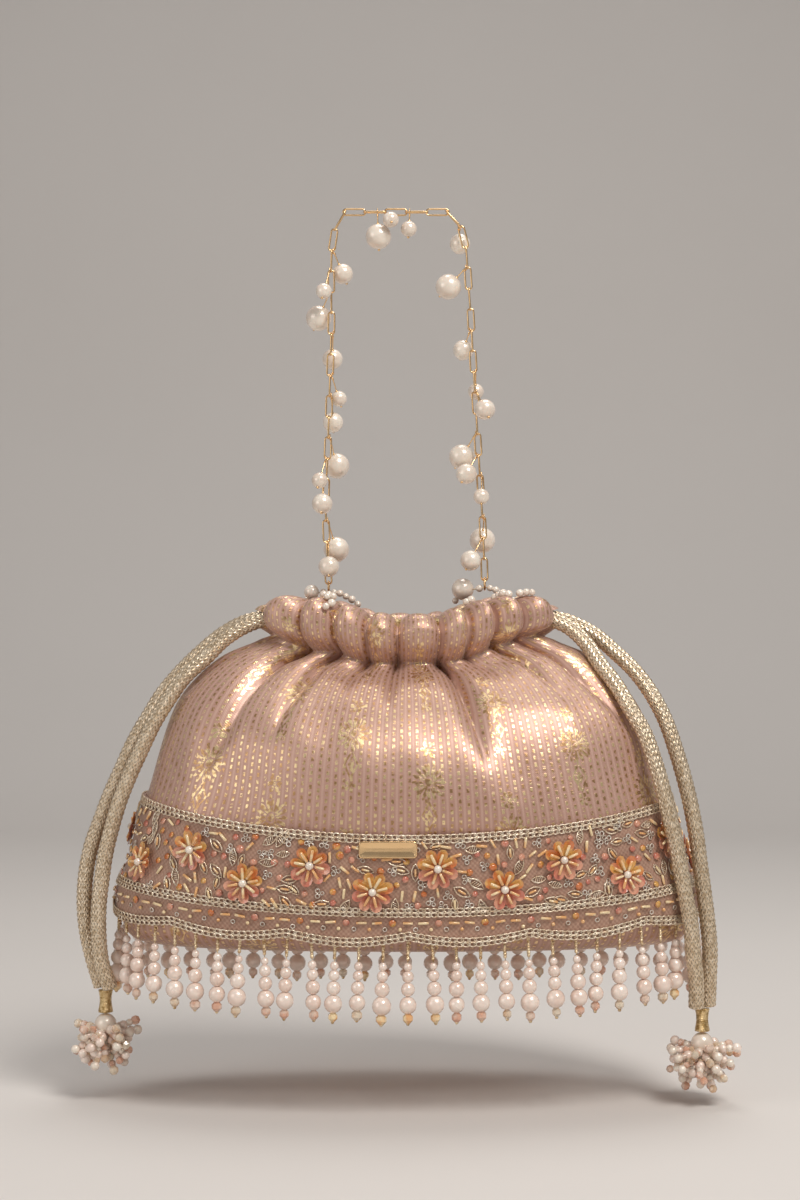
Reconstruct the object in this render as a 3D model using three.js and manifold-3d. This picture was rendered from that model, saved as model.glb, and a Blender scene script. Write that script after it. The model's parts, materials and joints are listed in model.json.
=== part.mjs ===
// A drawstring potli bag, held up by its chain handle. Millimetres, +Z up, the front faces -Y.
// The origin is the middle of the handle's top run, where a hand or a hook holds it.
import * as THREE from "three";
import { mergeGeometries, mergeVertices } from "three/addons/utils/BufferGeometryUtils.js";
import Module from "manifold-3d";

const wasm = await Module();
wasm.setup();

// ---- Driving dimensions ----
const GAP = 0.3; // between pieces that touch on the real bag

const BAG_X = 4.5; // the bag hangs a little to the right of the held point
const BASE_Z = -283.5;
const SQUARENESS = 2.3; // exponent of the superellipse that every level of the bag follows
const CLOTH = 1.2; // brocade with its interlining
const LINING = 0.8;
const AROUND = 30; // points round each level

// The brocade's outer face, from the base to the top of the drawstring casing:
// half width, half depth, height, and how much higher the two ends stand than the front.
const FLAT_BASE = [99, 33, BASE_Z, 0];
const BODY = [
  [106, 40, -282.6, 0],
  [110, 45, -279, 0],
  [111.5, 48.5, -272, 0],
  [108.5, 51, -262, 0],
  [104, 52.5, -242, 0],
  [99.8, 52, -225, 0],
  [94, 47, -207, 1],
  [87, 38, -194, 3],
  [78, 28, -185, 5],
  [68, 20, -179, 7],
];
const PINCH = [52.5, 16.5, -175.5, 9]; // the casing's seam, drawn in by the cords
const CASING = [
  [55.5, 20.5, -170, 8],
  [57, 22, -163, 5],
  [55.5, 20.5, -156.5, 3],
  [51.5, 16.5, -153.5, 2],
  [46.5, 11.5, -153.5, 2],
  [43.5, 8.8, -157, 3],
  [43, 8.5, -168, 7],
  [45.5, 10, -177, 9],
];
const CHANNEL = { halfWidth: 50.5, halfDepth: 15.2, z: -163, lift: 4.5, wide: 3.2, tall: 5.6 };

const BOARD = { halfWidth: 98, halfDepth: 32, thick: 2.2 };

const BAND = { offset: 1.2, thick: 1.0, frontTop: -237.7, endTop: -226.5, frontLow: -276.8, endLow: -270.6 };
const SCALLOPS = 12;
const SCALLOP_DEPTH = 2.6;
const SCALLOP_STEPS = 5; // so that the band has two points for each of the bag's
const PLATE = { width: 21.5, height: 6.2, thick: 1.0, corner: 1.2, x: -7.3, z: -242.8 };

const STRANDS = 60; // one at each point of the band
const STRANDS_IN_NODE = 6;
const TAPE = { thick: 0.6, low: 0.4, high: 3.6 };
const STRAND_PROFILE = [[0.3, 0], [0.3, -5.4], [1.4, -10.5], [2.95, -23.5], [1.3, -30.5]]; // radius, height

const WIRE = 0.35; // radius of the chain's wire
const LINK = { apex: 4.37, bend: 1.2 }; // half length and end radius of a link's centreline
const PITCH = 2 * (LINK.apex - WIRE) + 0.08; // drawn tight, so that neighbouring links join
const LEG_LINKS = 18;
const TOP_LINKS = 5;
const TOP_HALF = (TOP_LINKS * PITCH) / 2;
// Each leg's route, from the corner of the top run down to its ring: x, z.
const LEFT_ROUTE = [
  [-TOP_HALF + 0.5, 0.15], [-24, -7.4], [-25.2, -47], [-26.6, -94], [-27.4, -113], [-26, -150],
];
const RIGHT_ROUTE = [
  [TOP_HALF - 0.5, 0.15], [25.6, -6.4], [28.6, -32], [30.4, -63], [32, -90], [34.2, -129], [34.8, -150],
];

const PEARL = { large: 5, medium: 4, small: 3.1 }; // radii
// A charm's eye sits beside a joint, on the bend of its face-on link.
const EYE = { ring: 1.1, wire: 0.15, aside: 0.68, onArc: 0.16 };
const STEM = 0.22;
const PIN_DEPTH = 4; // a pearl at the chain's side still hangs this far behind or before it
const CHAIN_CLEAR = LINK.bend + WIRE + 2.5 * GAP; // a pearl beside the chain stays this far from its middle

// Pearls on the legs: the joint each hangs from, its size, how far its middle lies to the right of the
// chain, how far below its eye, and whether it lies in front of the chain (-1) or behind it (1).
const LEFT_CHARMS = [
  [2, "medium", 4.2, 8.6, 1],
  [3, "small", -2.7, 8.4, -1],
  [4, "large", -5.1, 9.6, 1],
  [6, "medium", 0.3, 9.3, 1],
  [8, "small", 3.3, 8.8, 1],
  [9, "medium", 1.2, 9.8, 1],
  [11, "large", 3.1, 10.6, 1],
  [12, "small", -2.9, 8.8, -1],
  [13, "medium", -1.4, 9.8, -1],
  [15, "large", 3.9, 11.0, 1],
  [16, "medium", 1.0, 9.8, -1],
];
const RIGHT_CHARMS = [
  [1, "medium", -0.2, 5.8, 1],
  [3, "large", -7.4, 6.8, 1],
  [6, "medium", -3.1, 7.2, 1],
  [8, "small", 1.0, 7.2, 1],
  [9, "medium", 3.7, 7.0, -1],
  [11, "large", -6.0, 8.6, 1],
  [12, "medium", -4.9, 7.6, -1],
  [13, "small", 0.4, 8.4, -1],
  [15, "large", 0.3, 8.8, 1],
  [16, "medium", -5.1, 8.8, -1],
];
// Pearls on the top run: the eye, and the pearl's middle from there.
const TOP_CHARMS = [
  [[-7.2, -LINK.bend, 0], "large", [0.4, 0.6, -9.6]],
  [[-2.6, 0, -LINK.bend], "small", [0.6, -5.4, -2.6]],
  [[5.4, -LINK.bend, 0], "small", [-0.4, -0.4, -6.8]],
];

const RING = { radius: 2.3, wire: 0.4 };
const LOOP = { thread: 0.5, bead: 1.25, pitch: 2.6, reach: 11.5, drop: 5.4, back: 4 };
// One bigger pearl on each loop: its radius, and its middle from the loop's.
const LOOP_PEARLS = { left: [2.9, [-6.6, -1.2, -0.4]], right: [4.3, [-8.5, 2.5, -0.6]] };

const CORD = 3.0; // radius of the drawcord where it hangs
const CORD_IN_CASING = 1.9;
// Each free strand's route from the casing to its tassel: x, y, z.
const LEFT_FRONT = [
  [-55.5, -3.2, -158.6], [-63, -3.8, -161.4], [-71, -5, -166.5], [-78.5, -7, -174], [-86, -9.5, -181],
  [-92, -11, -189.5],
  [-97.5, -12, -198.5], [-102, -12.5, -208], [-106.5, -13, -218], [-110.5, -13, -228], [-113.5, -13, -238],
  [-116, -13.5, -248.5], [-117.5, -14, -259], [-118.5, -15, -269.5], [-118.5, -15, -280], [-117.5, -14, -290.5],
  [-114.4, -12.3, -300.5],
];
const LEFT_BACK = [
  [-55.5, 3.2, -158], [-63.5, 3.4, -160], [-72, 3.5, -164.5], [-80.5, 1.5, -171.5], [-88, -1, -179],
  [-95, -3, -187.5],
  [-100.5, -4.5, -196.5], [-106, -5, -206], [-110.5, -5.5, -216], [-115, -5.5, -226], [-119, -5.5, -236.5],
  [-122.5, -6, -246.5], [-124.5, -7, -257.5], [-125, -7.5, -268.5], [-124, -8, -279.5], [-121.5, -8.5, -290],
  [-118.6, -7, -300.5],
];
const RIGHT_FRONT = [
  [55.5, -3.2, -158.6], [62.5, -5, -161.8], [69, -8, -168], [74, -13.5, -176], [79.5, -19, -183.5],
  [84.5, -24, -192.5],
  [89.5, -27, -201.5], [93, -29.5, -211.5], [96, -31, -222], [98.5, -31.5, -232.5], [101, -31, -243],
  [103, -31, -253.5], [105, -30, -264], [107, -29, -274.5], [108, -27.5, -285], [109.5, -25, -295.5],
  [109.9, -21.9, -306],
];
const RIGHT_BACK = [
  [55.5, 3.2, -158], [63.5, 2.8, -160], [72.5, 0.5, -164.5], [80.5, -4.5, -171.5], [87.5, -9.5, -178.5],
  [93.5, -14, -187],
  [98.5, -17.5, -197], [102, -20, -207.5], [105, -21.5, -218], [107.5, -22.5, -228.5], [109.5, -23.5, -239.5],
  [111, -23.5, -251], [112.5, -23.5, -262], [114, -23, -273.5], [115, -22, -284], [115, -20, -295],
  [115, -17.2, -306],
];
const TASSEL = { wrapRadius: 3.0, wrapLength: 8.5, pearl: 4.5, sprigs: 11, bead: 2.0, spread: 10.2 };

const SEED = 7; // for the sprigs' small differences

// ---- Materials ----
const paint = (color, roughness, metalness = 0) =>
  new THREE.MeshStandardMaterial({ color, roughness, metalness });
const BROCADE = paint(0xc99a86, 0.45, 0.15);
const SATIN = paint(0xd9b8a6, 0.5);
const CARD = paint(0xb9a58c, 0.9);
const ZARI = paint(0xb08a62, 0.5, 0.3);
const GOLD = paint(0xd9a75c, 0.25, 1);
const LUREX = paint(0xb6a57c, 0.45, 0.6);
const NACRE = paint(0xf3e6dc, 0.25);
const ROSE_BEADS = paint(0xf0cdbb, 0.25);

// ---- Solids ----
const up = new THREE.Vector3(0, 0, 1);
const vector = ([x, y, z]) => new THREE.Vector3(x, y, z);

function geometryFrom(points, indices) {
  const geometry = new THREE.BufferGeometry();
  geometry.setAttribute("position", new THREE.Float32BufferAttribute(points.flatMap((p) => p.toArray()), 3));
  geometry.setIndex(indices);
  return geometry;
}

// The faces between rings of equal length, counter-clockwise seen from above and rising on the outside.
function facesBetween(rings, closed) {
  const count = rings[0].length;
  const indices = [];
  for (let r = 0; r < (closed ? rings.length : rings.length - 1); r++) {
    const next = (r + 1) % rings.length;
    for (let i = 0; i < count; i++) {
      const j = (i + 1) % count;
      indices.push(r * count + i, r * count + j, next * count + j);
      indices.push(r * count + i, next * count + j, next * count + i);
    }
  }
  return indices;
}

// A solid through rings, each end closed by a fan to its ring's middle.
function capped(rings) {
  const count = rings[0].length;
  const points = rings.flat();
  const indices = facesBetween(rings, false);
  for (const [ring, start, turn] of [[rings[0], 0, -1], [rings.at(-1), points.length - count, 1]]) {
    const middle = ring.reduce((sum, p) => sum.add(p), new THREE.Vector3()).divideScalar(count);
    const apex = points.push(middle) - 1;
    for (let i = 0; i < count; i++) {
      const pair = [start + i, start + ((i + 1) % count)];
      indices.push(apex, ...(turn > 0 ? pair : pair.reverse()));
    }
  }
  return geometryFrom(points, indices);
}

// A solid whose section is a loop of rings, such as a band or a closed tube.
const looped = (rings) => geometryFrom(rings.flat(), facesBetween(rings, true));

function solidOf(geometry) {
  const bare = geometry.clone();
  bare.deleteAttribute("normal");
  bare.deleteAttribute("uv");
  const merged = mergeVertices(bare, 1e-4);
  return new wasm.Manifold(
    new wasm.Mesh({
      numProp: 3,
      vertProperties: new Float32Array(merged.attributes.position.array),
      triVerts: new Uint32Array(merged.index.array),
    }),
  );
}

function geometryOf(solid) {
  const made = solid.getMesh();
  const geometry = new THREE.BufferGeometry();
  geometry.setAttribute("position", new THREE.BufferAttribute(Float32Array.from(made.vertProperties), 3));
  geometry.setIndex(new THREE.BufferAttribute(Uint32Array.from(made.triVerts), 1));
  return geometry;
}

const joined = (geometries) =>
  geometryOf(geometries.map(solidOf).reduce((whole, piece) => whole.add(piece)));

// A round bar from one point to another.
function bar(from, to, radius, sides = 4) {
  const along = to.clone().sub(from);
  const geometry = new THREE.CylinderGeometry(radius, radius, along.length(), sides);
  geometry.applyQuaternion(
    new THREE.Quaternion().setFromUnitVectors(new THREE.Vector3(0, 1, 0), along.clone().normalize()),
  );
  return geometry.translate(...from.clone().add(to).divideScalar(2).toArray());
}

const ball = (radius, at = new THREE.Vector3(), columns = 8, rows = 6) =>
  new THREE.SphereGeometry(radius, columns, rows).translate(...at.toArray());

// A round section swept along a smooth curve, with flat ends.
function tube(points, radius, steps, sides = 8, closed = false) {
  const section = new THREE.Shape(
    Array.from({ length: sides }, (_, i) => {
      const turn = (2 * Math.PI * i) / sides;
      return new THREE.Vector2(radius * Math.cos(turn), radius * Math.sin(turn));
    }),
  );
  const curve = new THREE.CatmullRomCurve3(points, closed, "centripetal");
  return new THREE.ExtrudeGeometry(section, { steps, extrudePath: curve, curveSegments: 1 });
}

// ---- The bag's levels ----
const power = (value) => Math.sign(value) * Math.abs(value) ** (2 / SQUARENESS);

function levelPoint([halfWidth, halfDepth, z, lift], turn) {
  const across = power(Math.cos(turn));
  return new THREE.Vector3(halfWidth * across, halfDepth * power(Math.sin(turn)), z + lift * across ** 2);
}

// The turns that share a level's outline into equal lengths, so that stitches and strands are evenly spaced.
function evenTurns(level, count) {
  const fine = 2000;
  const sums = [0];
  let last = levelPoint(level, 0);
  for (let i = 1; i <= fine; i++) {
    const next = levelPoint(level, (2 * Math.PI * i) / fine);
    sums.push(sums.at(-1) + next.distanceTo(last));
    last = next;
  }
  let i = 0;
  return Array.from({ length: count }, (_, k) => {
    const wanted = (sums.at(-1) * k) / count;
    while (sums[i + 1] < wanted) i++;
    return (2 * Math.PI * (i + (wanted - sums[i]) / (sums[i + 1] - sums[i]))) / fine;
  });
}

const WIDEST = BODY[2];
const BAG_TURNS = evenTurns(WIDEST, AROUND);
const ring = (level, turns = BAG_TURNS) => turns.map((turn) => levelPoint(level, turn));

// A level moved inwards by the cloth's thickness, and lowered where the wall leans over.
const inside = ([halfWidth, halfDepth, z, lift], by) => {
  const lean = THREE.MathUtils.smoothstep(z, -225, -178);
  return [halfWidth - by, halfDepth - by, z - by * lean, lift];
};

// The outer wall at any height between the base and the shoulder.
function wallAt(z) {
  const above = BODY.findIndex((level) => level[2] >= z);
  const [low, high] = [BODY[above - 1], BODY[above]];
  const share = (z - low[2]) / (high[2] - low[2]);
  return low.map((value, i) => value + share * (high[i] - value));
}

// A point at a height on the wall, moved out from it.
// What is sewn on hangs straight down past the widest level.
function onWall(turn, z, out) {
  const [halfWidth, halfDepth] = wallAt(Math.max(z, WIDEST[2]));
  const hang = 1 - THREE.MathUtils.smoothstep(z, -267, -250);
  const wide = halfWidth + hang * Math.max(0, WIDEST[0] - halfWidth);
  return levelPoint([wide + out, halfDepth + out, z, 0], turn);
}

// ---- The bag ----
function outerBag() {
  const innerBody = BODY.map((level) => inside(level, CLOTH)).reverse();
  innerBody.at(-1)[2] = BASE_Z + CLOTH + 0.6;
  const innerBase = inside([...FLAT_BASE.slice(0, 2), BASE_Z + CLOTH, 0], CLOTH);
  const levels = [FLAT_BASE, ...BODY, PINCH, ...CASING, ...innerBody, innerBase];
  return levels.map((level) => ring(level));
}

// The tunnel that the cords run in: an upright oval swept round the casing.
function channelRings(columns = 8) {
  return Array.from({ length: columns }, (_, i) => {
    const turn = (-2 * Math.PI * i) / columns;
    const out = CHANNEL.wide * Math.cos(turn);
    return ring([
      CHANNEL.halfWidth + out,
      CHANNEL.halfDepth + out,
      CHANNEL.z + CHANNEL.tall * Math.sin(turn),
      CHANNEL.lift,
    ]);
  }).reverse();
}

function makeOuterBag() {
  const exit = new THREE.BoxGeometry(14, 13, 10).translate(0, 0, CHANNEL.z + CHANNEL.lift);
  const exits = [-1, 1].map((side) => exit.clone().translate(side * (CHANNEL.halfWidth + 7), 0, 0));
  const cuts = [looped(channelRings()), ...exits];
  return geometryOf(cuts.reduce((left, cut) => left.subtract(solidOf(cut)), solidOf(capped(outerBag()))));
}

function makeLining() {
  const body = BODY.slice(2, -1).map((level) => inside(level, CLOTH + 2 * GAP));
  const floor = BASE_Z + CLOTH + BOARD.thick + 3 * GAP;
  const bottom = [BOARD.halfWidth + 2, BOARD.halfDepth + 4, floor, 0];
  const outer = [bottom, ...body];
  const inner = outer.map((level) => inside(level, LINING)).reverse();
  inner.at(-1)[2] = floor + LINING;
  return capped([...outer, ...inner].map((level) => ring(level)));
}

function makeBoard() {
  const floor = BASE_Z + CLOTH + GAP;
  const levels = [floor, floor + BOARD.thick].map((z) => [BOARD.halfWidth, BOARD.halfDepth, z, 0]);
  return capped(levels.map((level) => ring(level)));
}

// The band's edges stand higher at the bag's ends than at its front and back.
const between = (front, end, turn) => front + (end - front) * power(Math.cos(turn)) ** 2;
const bandTop = (turn) => between(BAND.frontTop, BAND.endTop, turn);
const bandLow = (turn) => between(BAND.frontLow, BAND.endLow, turn);

function makeBand() {
  const steps = SCALLOPS * SCALLOP_STEPS;
  const turns = evenTurns(WIDEST, steps);
  const edge = (i, share) => {
    const scallop = SCALLOP_DEPTH * Math.abs(Math.sin((Math.PI * i) / SCALLOP_STEPS));
    return THREE.MathUtils.lerp(bandLow(turns[i]) - scallop, bandTop(turns[i]), share);
  };
  const face = (share, out) => turns.map((turn, i) => onWall(turn, edge(i, share), out));
  const near = BAND.offset;
  const far = BAND.offset + BAND.thick;
  const shares = [0, 0.14, 0.36, 0.65, 1];
  return looped([...shares.map((s) => face(s, far)), ...shares.toReversed().map((s) => face(s, near))]);
}

function makePlate() {
  const { width, height, thick, corner } = PLATE;
  const outline = new THREE.Shape();
  const [x, y] = [width / 2 - corner, height / 2 - corner];
  outline.absarc(x, y, corner, 0, Math.PI / 2);
  outline.absarc(-x, y, corner, Math.PI / 2, Math.PI);
  outline.absarc(-x, -y, corner, Math.PI, 1.5 * Math.PI);
  outline.absarc(x, -y, corner, 1.5 * Math.PI, 2 * Math.PI);
  return new THREE.ExtrudeGeometry(outline, { depth: thick, bevelEnabled: false, curveSegments: 3 });
}

// Bead strands hanging from one length of tape, which is sewn behind the band.
function makeFringe(first) {
  const tapeTurns = evenTurns(WIDEST, STRANDS).slice(first, first + STRANDS_IN_NODE);
  const corner = (turn, height, side) =>
    onWall(turn, bandLow(turn) + height, BAND.offset - GAP - (side ? 0 : TAPE.thick));
  const sections = tapeTurns.map((turn) => [
    corner(turn, TAPE.low, true),
    corner(turn, TAPE.low, false),
    corner(turn, TAPE.high, false),
    corner(turn, TAPE.high, true),
  ]);
  const strands = tapeTurns.map((turn) => {
    const top = onWall(turn, bandLow(turn) + TAPE.low + 1.6, BAND.offset - GAP - TAPE.thick / 2);
    return capped(
      STRAND_PROFILE.toReversed().map(([radius, z]) =>
        [0, 1, 2, 3].map((i) => {
          const at = turn + (i * Math.PI) / 2;
          return new THREE.Vector3(radius * Math.cos(at), radius * Math.sin(at), z).add(top);
        }),
      ),
    );
  });
  return joined([capped(sections), ...strands]);
}

// ---- The drawcords ----
// A cord's run in the casing: out from its own end of the bag, all the way round, and back.
function makeRun(side) {
  const steps = 40;
  const shift = side * 2.5; // the two runs lie one above the other
  const start = side < 0 ? Math.PI : 0;
  const opening = 0.16;
  const points = Array.from({ length: steps + 1 }, (_, i) => {
    const turn = start + opening + ((2 * Math.PI - 2 * opening) * i) / steps;
    return levelPoint([CHANNEL.halfWidth, CHANNEL.halfDepth, CHANNEL.z + shift, CHANNEL.lift], turn);
  });
  return tube(points, CORD_IN_CASING, 34, 6);
}

const makeStrand = (route) => tube(route.map(vector), CORD, 24, 8);

// Numbers that look random and are the same every time.
function scatter(seed) {
  let state = seed;
  return () => {
    state = (state * 16807) % 2147483647;
    return state / 2147483647;
  };
}

// Short sprigs of beads that spread from under the tassel's pearl.
function makeCluster(seed) {
  const random = scatter(seed);
  const beads = [new THREE.IcosahedronGeometry(TASSEL.spread * 0.8, 1)];
  for (let i = 0; i < TASSEL.sprigs; i++) {
    const height = 0.35 - (1.35 * (i + 0.5)) / TASSEL.sprigs;
    const turn = i * 2.4 + random();
    const flat = Math.sqrt(1 - height * height);
    const wide = flat * 1.15;
    const out = new THREE.Vector3(wide * Math.cos(turn), wide * Math.sin(turn), height * 0.8 - 0.15);
    for (const reach of [0.7, 1.02]) {
      const at = out.clone().multiplyScalar(TASSEL.spread * reach * (0.92 + 0.16 * random()));
      beads.push(new THREE.OctahedronGeometry(TASSEL.bead).translate(...at.toArray()));
    }
    beads.push(bar(new THREE.Vector3(), out.clone().multiplyScalar(TASSEL.spread), 0.5, 3));
  }
  return joined(beads);
}

// ---- The handle ----
const smooth = (route) =>
  new THREE.CatmullRomCurve3(route.map(([x, z]) => new THREE.Vector3(x, 0, z)), false, "centripetal");

// The points where the links of a leg meet, one pitch apart.
function jointsAlong(route) {
  const joints = [];
  for (const point of smooth(route).getPoints(1200)) {
    const last = joints.at(-1);
    if (!last) joints.push(point);
    else if (point.distanceTo(last) >= PITCH) joints.push(point.sub(last).setLength(PITCH).add(last));
  }
  return joints.slice(0, LEG_LINKS + 1);
}

const LEFT_JOINTS = jointsAlong(LEFT_ROUTE);
const RIGHT_JOINTS = jointsAlong(RIGHT_ROUTE);
const TOP_JOINTS = Array.from(
  { length: TOP_LINKS + 1 },
  (_, i) => new THREE.Vector3(-TOP_HALF + i * PITCH, 0, 0),
);

// One link between two joints: a round wire bent to a long loop. A flat link lies across the view.
function makeLink(from, to, flat) {
  const straight = LINK.apex - LINK.bend;
  const stations = [];
  for (const end of [1, -1])
    for (const bend of [-1, 0, 1].map((step) => (step * Math.PI) / 2))
      stations.push([end * straight, end * LINK.bend * Math.cos(bend), end * LINK.bend * Math.sin(bend)]);
  const rings = stations.map(([middle, along, across]) => {
    const outward = new THREE.Vector3(along, across, 0).normalize();
    const centre = new THREE.Vector3(middle + along, across, 0);
    return [0, 1, 2].map((i) => {
      const turn = Math.PI + (i * 2 * Math.PI) / 3;
      return centre
        .clone()
        .addScaledVector(outward, WIRE * Math.cos(turn))
        .addScaledVector(up, -WIRE * Math.sin(turn));
    });
  });
  const along = to.clone().sub(from).normalize();
  const towards = new THREE.Vector3(0, 1, 0);
  const normal = flat ? along.clone().cross(towards) : towards;
  const across = normal.clone().cross(along);
  const turned = new THREE.Matrix4().makeBasis(along, across, normal);
  return looped(rings).applyMatrix4(turned).translate(...from.clone().add(to).divideScalar(2).toArray());
}

// Links of a run, joined end to end: the one at the joint numbered firstFlat lies flat, as every second does.
const makeRunOfLinks = (joints, firstFlat) =>
  joined(joints.slice(1).map((to, i) => makeLink(joints[i], to, (i - firstFlat) % 2 === 0)));

// A pearl on a pin, drawn round the middle of its eye.
function makeCharm(radius, middle) {
  const eye = new THREE.TorusGeometry(EYE.ring, EYE.wire, 3, 6).rotateY(Math.PI / 2);
  const down = new THREE.Vector3(0, middle.y, middle.z).setLength(EYE.ring * 0.9);
  return joined([eye, bar(down, middle, STEM, 3), ball(radius, middle)]);
}

// A pearl that hangs from a joint of a leg, clear of the chain: its eye's place, its turn and its shape.
function legCharm(joints, [joint, size, aside, below, face]) {
  const radius = PEARL[size];
  const along = joints[joint + 1].clone().sub(joints[joint - 1]).normalize();
  const tilt = Math.atan2(along.x, -along.z);
  const fromChain = aside - below * Math.tan(tilt);
  const depth = face * Math.sqrt(Math.max(PIN_DEPTH ** 2, (radius + CHAIN_CLEAR) ** 2 - fromChain ** 2));
  const faceOnAbove = (LEG_LINKS - joint) % 2 === 0;
  const eye = new THREE.Vector3(-along.z, 0, along.x).multiplyScalar(Math.sign(aside) * EYE.aside);
  eye.addScaledVector(along, (faceOnAbove ? 1 : -1) * EYE.onArc);
  const middle = new THREE.Vector3(aside, depth, -below).sub(eye);
  middle.applyAxisAngle(new THREE.Vector3(0, 1, 0), tilt);
  return [joints[joint].clone().add(eye), -tilt, makeCharm(radius, middle)];
}

// The ring that a leg's last link hangs in, and the loop of small beads that ties it to the mouth.
const ringMiddle = (end) => {
  const lowestWire = end.z - (LINK.apex - PITCH / 2);
  return new THREE.Vector3(end.x, end.y, lowestWire + WIRE + GAP + RING.wire - RING.radius);
};

function makeBeadLoop([radius, middle]) {
  const { thread, bead, pitch, reach, drop, back } = LOOP;
  const at = (x) => new THREE.Vector3(x, back * (x / reach) ** 2, -drop * (x / reach) ** 2);
  const path = Array.from({ length: 9 }, (_, i) => at(-reach + (i * reach) / 4));
  const beads = [];
  for (let x = RING.wire + bead + 0.5; x <= reach; x += pitch * 0.9)
    for (const side of [-1, 1])
      beads.push(new THREE.OctahedronGeometry(bead).rotateY(0.5).translate(...at(side * x).toArray()));
  return joined([tube(path, thread, 8, 4), ball(radius, vector(middle)), ...beads]);
}

// ---- Assembly ----
const bag = new THREE.Group();
bag.name = "bag";
const handle = new THREE.Group();
handle.name = "handle";

function add(group, name, geometry, material, position = new THREE.Vector3()) {
  const mesh = new THREE.Mesh(geometry, material);
  mesh.name = name;
  mesh.position.copy(position);
  group.add(mesh);
  return mesh;
}

const body = new THREE.Group();
body.position.x = BAG_X;
bag.add(body);
add(body, "outer_bag", makeOuterBag(), BROCADE);
add(body, "lining", makeLining(), SATIN);
add(body, "base_board", makeBoard(), CARD);
add(body, "embroidered_band", makeBand(), ZARI);
const plateDepth = onWall(-Math.PI / 2, PLATE.z, BAND.offset + BAND.thick + GAP).y - 0.25;
const plate = add(body, "name_plate", makePlate(), GOLD, new THREE.Vector3(PLATE.x, plateDepth, PLATE.z));
plate.rotation.x = Math.PI / 2;
for (let i = 0; i < STRANDS / STRANDS_IN_NODE; i++)
  add(body, `fringe_${String(i + 1).padStart(2, "0")}`, makeFringe(i * STRANDS_IN_NODE), NACRE);
add(body, "drawcord_left_run", makeRun(-1), LUREX);
add(body, "drawcord_right_run", makeRun(1), LUREX);

for (const [side, front, back] of [["left", LEFT_FRONT, LEFT_BACK], ["right", RIGHT_FRONT, RIGHT_BACK]]) {
  add(body, `drawcord_${side}_front`, makeStrand(front), LUREX);
  add(body, `drawcord_${side}_back`, makeStrand(back), LUREX);
  const end = vector(front.at(-1)).add(vector(back.at(-1))).divideScalar(2);
  const wrapTop = end.z - 1.2; // clear of the strands' slanting ends
  const wrap = new THREE.CylinderGeometry(TASSEL.wrapRadius, TASSEL.wrapRadius * 0.8, TASSEL.wrapLength, 8);
  const wrapMiddle = new THREE.Vector3(end.x, end.y, wrapTop - TASSEL.wrapLength / 2);
  add(body, `tassel_${side}_wrap`, wrap.rotateX(Math.PI / 2), LUREX, wrapMiddle);
  const pearlMiddle = new THREE.Vector3(end.x, end.y, wrapTop - TASSEL.wrapLength - GAP - TASSEL.pearl);
  add(body, `tassel_${side}_pearl`, ball(TASSEL.pearl, new THREE.Vector3(), 10, 8), NACRE, pearlMiddle);
  const clusterMiddle = pearlMiddle.clone().add(new THREE.Vector3(0, 0, -TASSEL.pearl - TASSEL.spread * 0.42));
  const cluster = solidOf(makeCluster(side === "left" ? SEED : SEED + 4));
  const seat = solidOf(ball(TASSEL.pearl + GAP, pearlMiddle.clone().sub(clusterMiddle), 16, 12));
  add(body, `tassel_${side}_cluster`, geometryOf(cluster.subtract(seat)), ROSE_BEADS, clusterMiddle);
}

for (const [side, joints] of [["left", LEFT_JOINTS], ["right", RIGHT_JOINTS]]) {
  const middle = ringMiddle(joints.at(-1));
  const hoop = new THREE.TorusGeometry(RING.radius, RING.wire, 5, 12).rotateY(Math.PI / 2);
  add(bag, `anchor_ring_${side}`, hoop, GOLD, middle);
  const seat = middle.clone();
  seat.z -= RING.radius - RING.wire - LOOP.thread - GAP;
  add(bag, `bead_loop_${side}`, makeBeadLoop(LOOP_PEARLS[side]), NACRE, seat);
}

add(handle, "chain_left", makeRunOfLinks(LEFT_JOINTS, 0), GOLD);
add(handle, "chain_top", makeRunOfLinks(TOP_JOINTS, 1), GOLD);
add(handle, "chain_right", makeRunOfLinks(RIGHT_JOINTS, 0), GOLD);
for (const [side, joints, charms] of [["left", LEFT_JOINTS, LEFT_CHARMS], ["right", RIGHT_JOINTS, RIGHT_CHARMS]])
  charms.forEach((charm, i) => {
    const [at, turn, geometry] = legCharm(joints, charm);
    add(handle, `charm_${side}_${String(i + 1).padStart(2, "0")}`, geometry, NACRE, at).rotation.y = turn;
  });
TOP_CHARMS.forEach(([at, size, middle], i) =>
  add(handle, `charm_top_${i + 1}`, makeCharm(PEARL[size], vector(middle)), NACRE, vector(at)),
);

const potli = new THREE.Group();
potli.add(handle, bag);
export default potli;
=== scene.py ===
import json
import math
import random

import bmesh
import bpy
import numpy as np
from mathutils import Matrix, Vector
from mathutils.bvhtree import BVHTree


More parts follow.
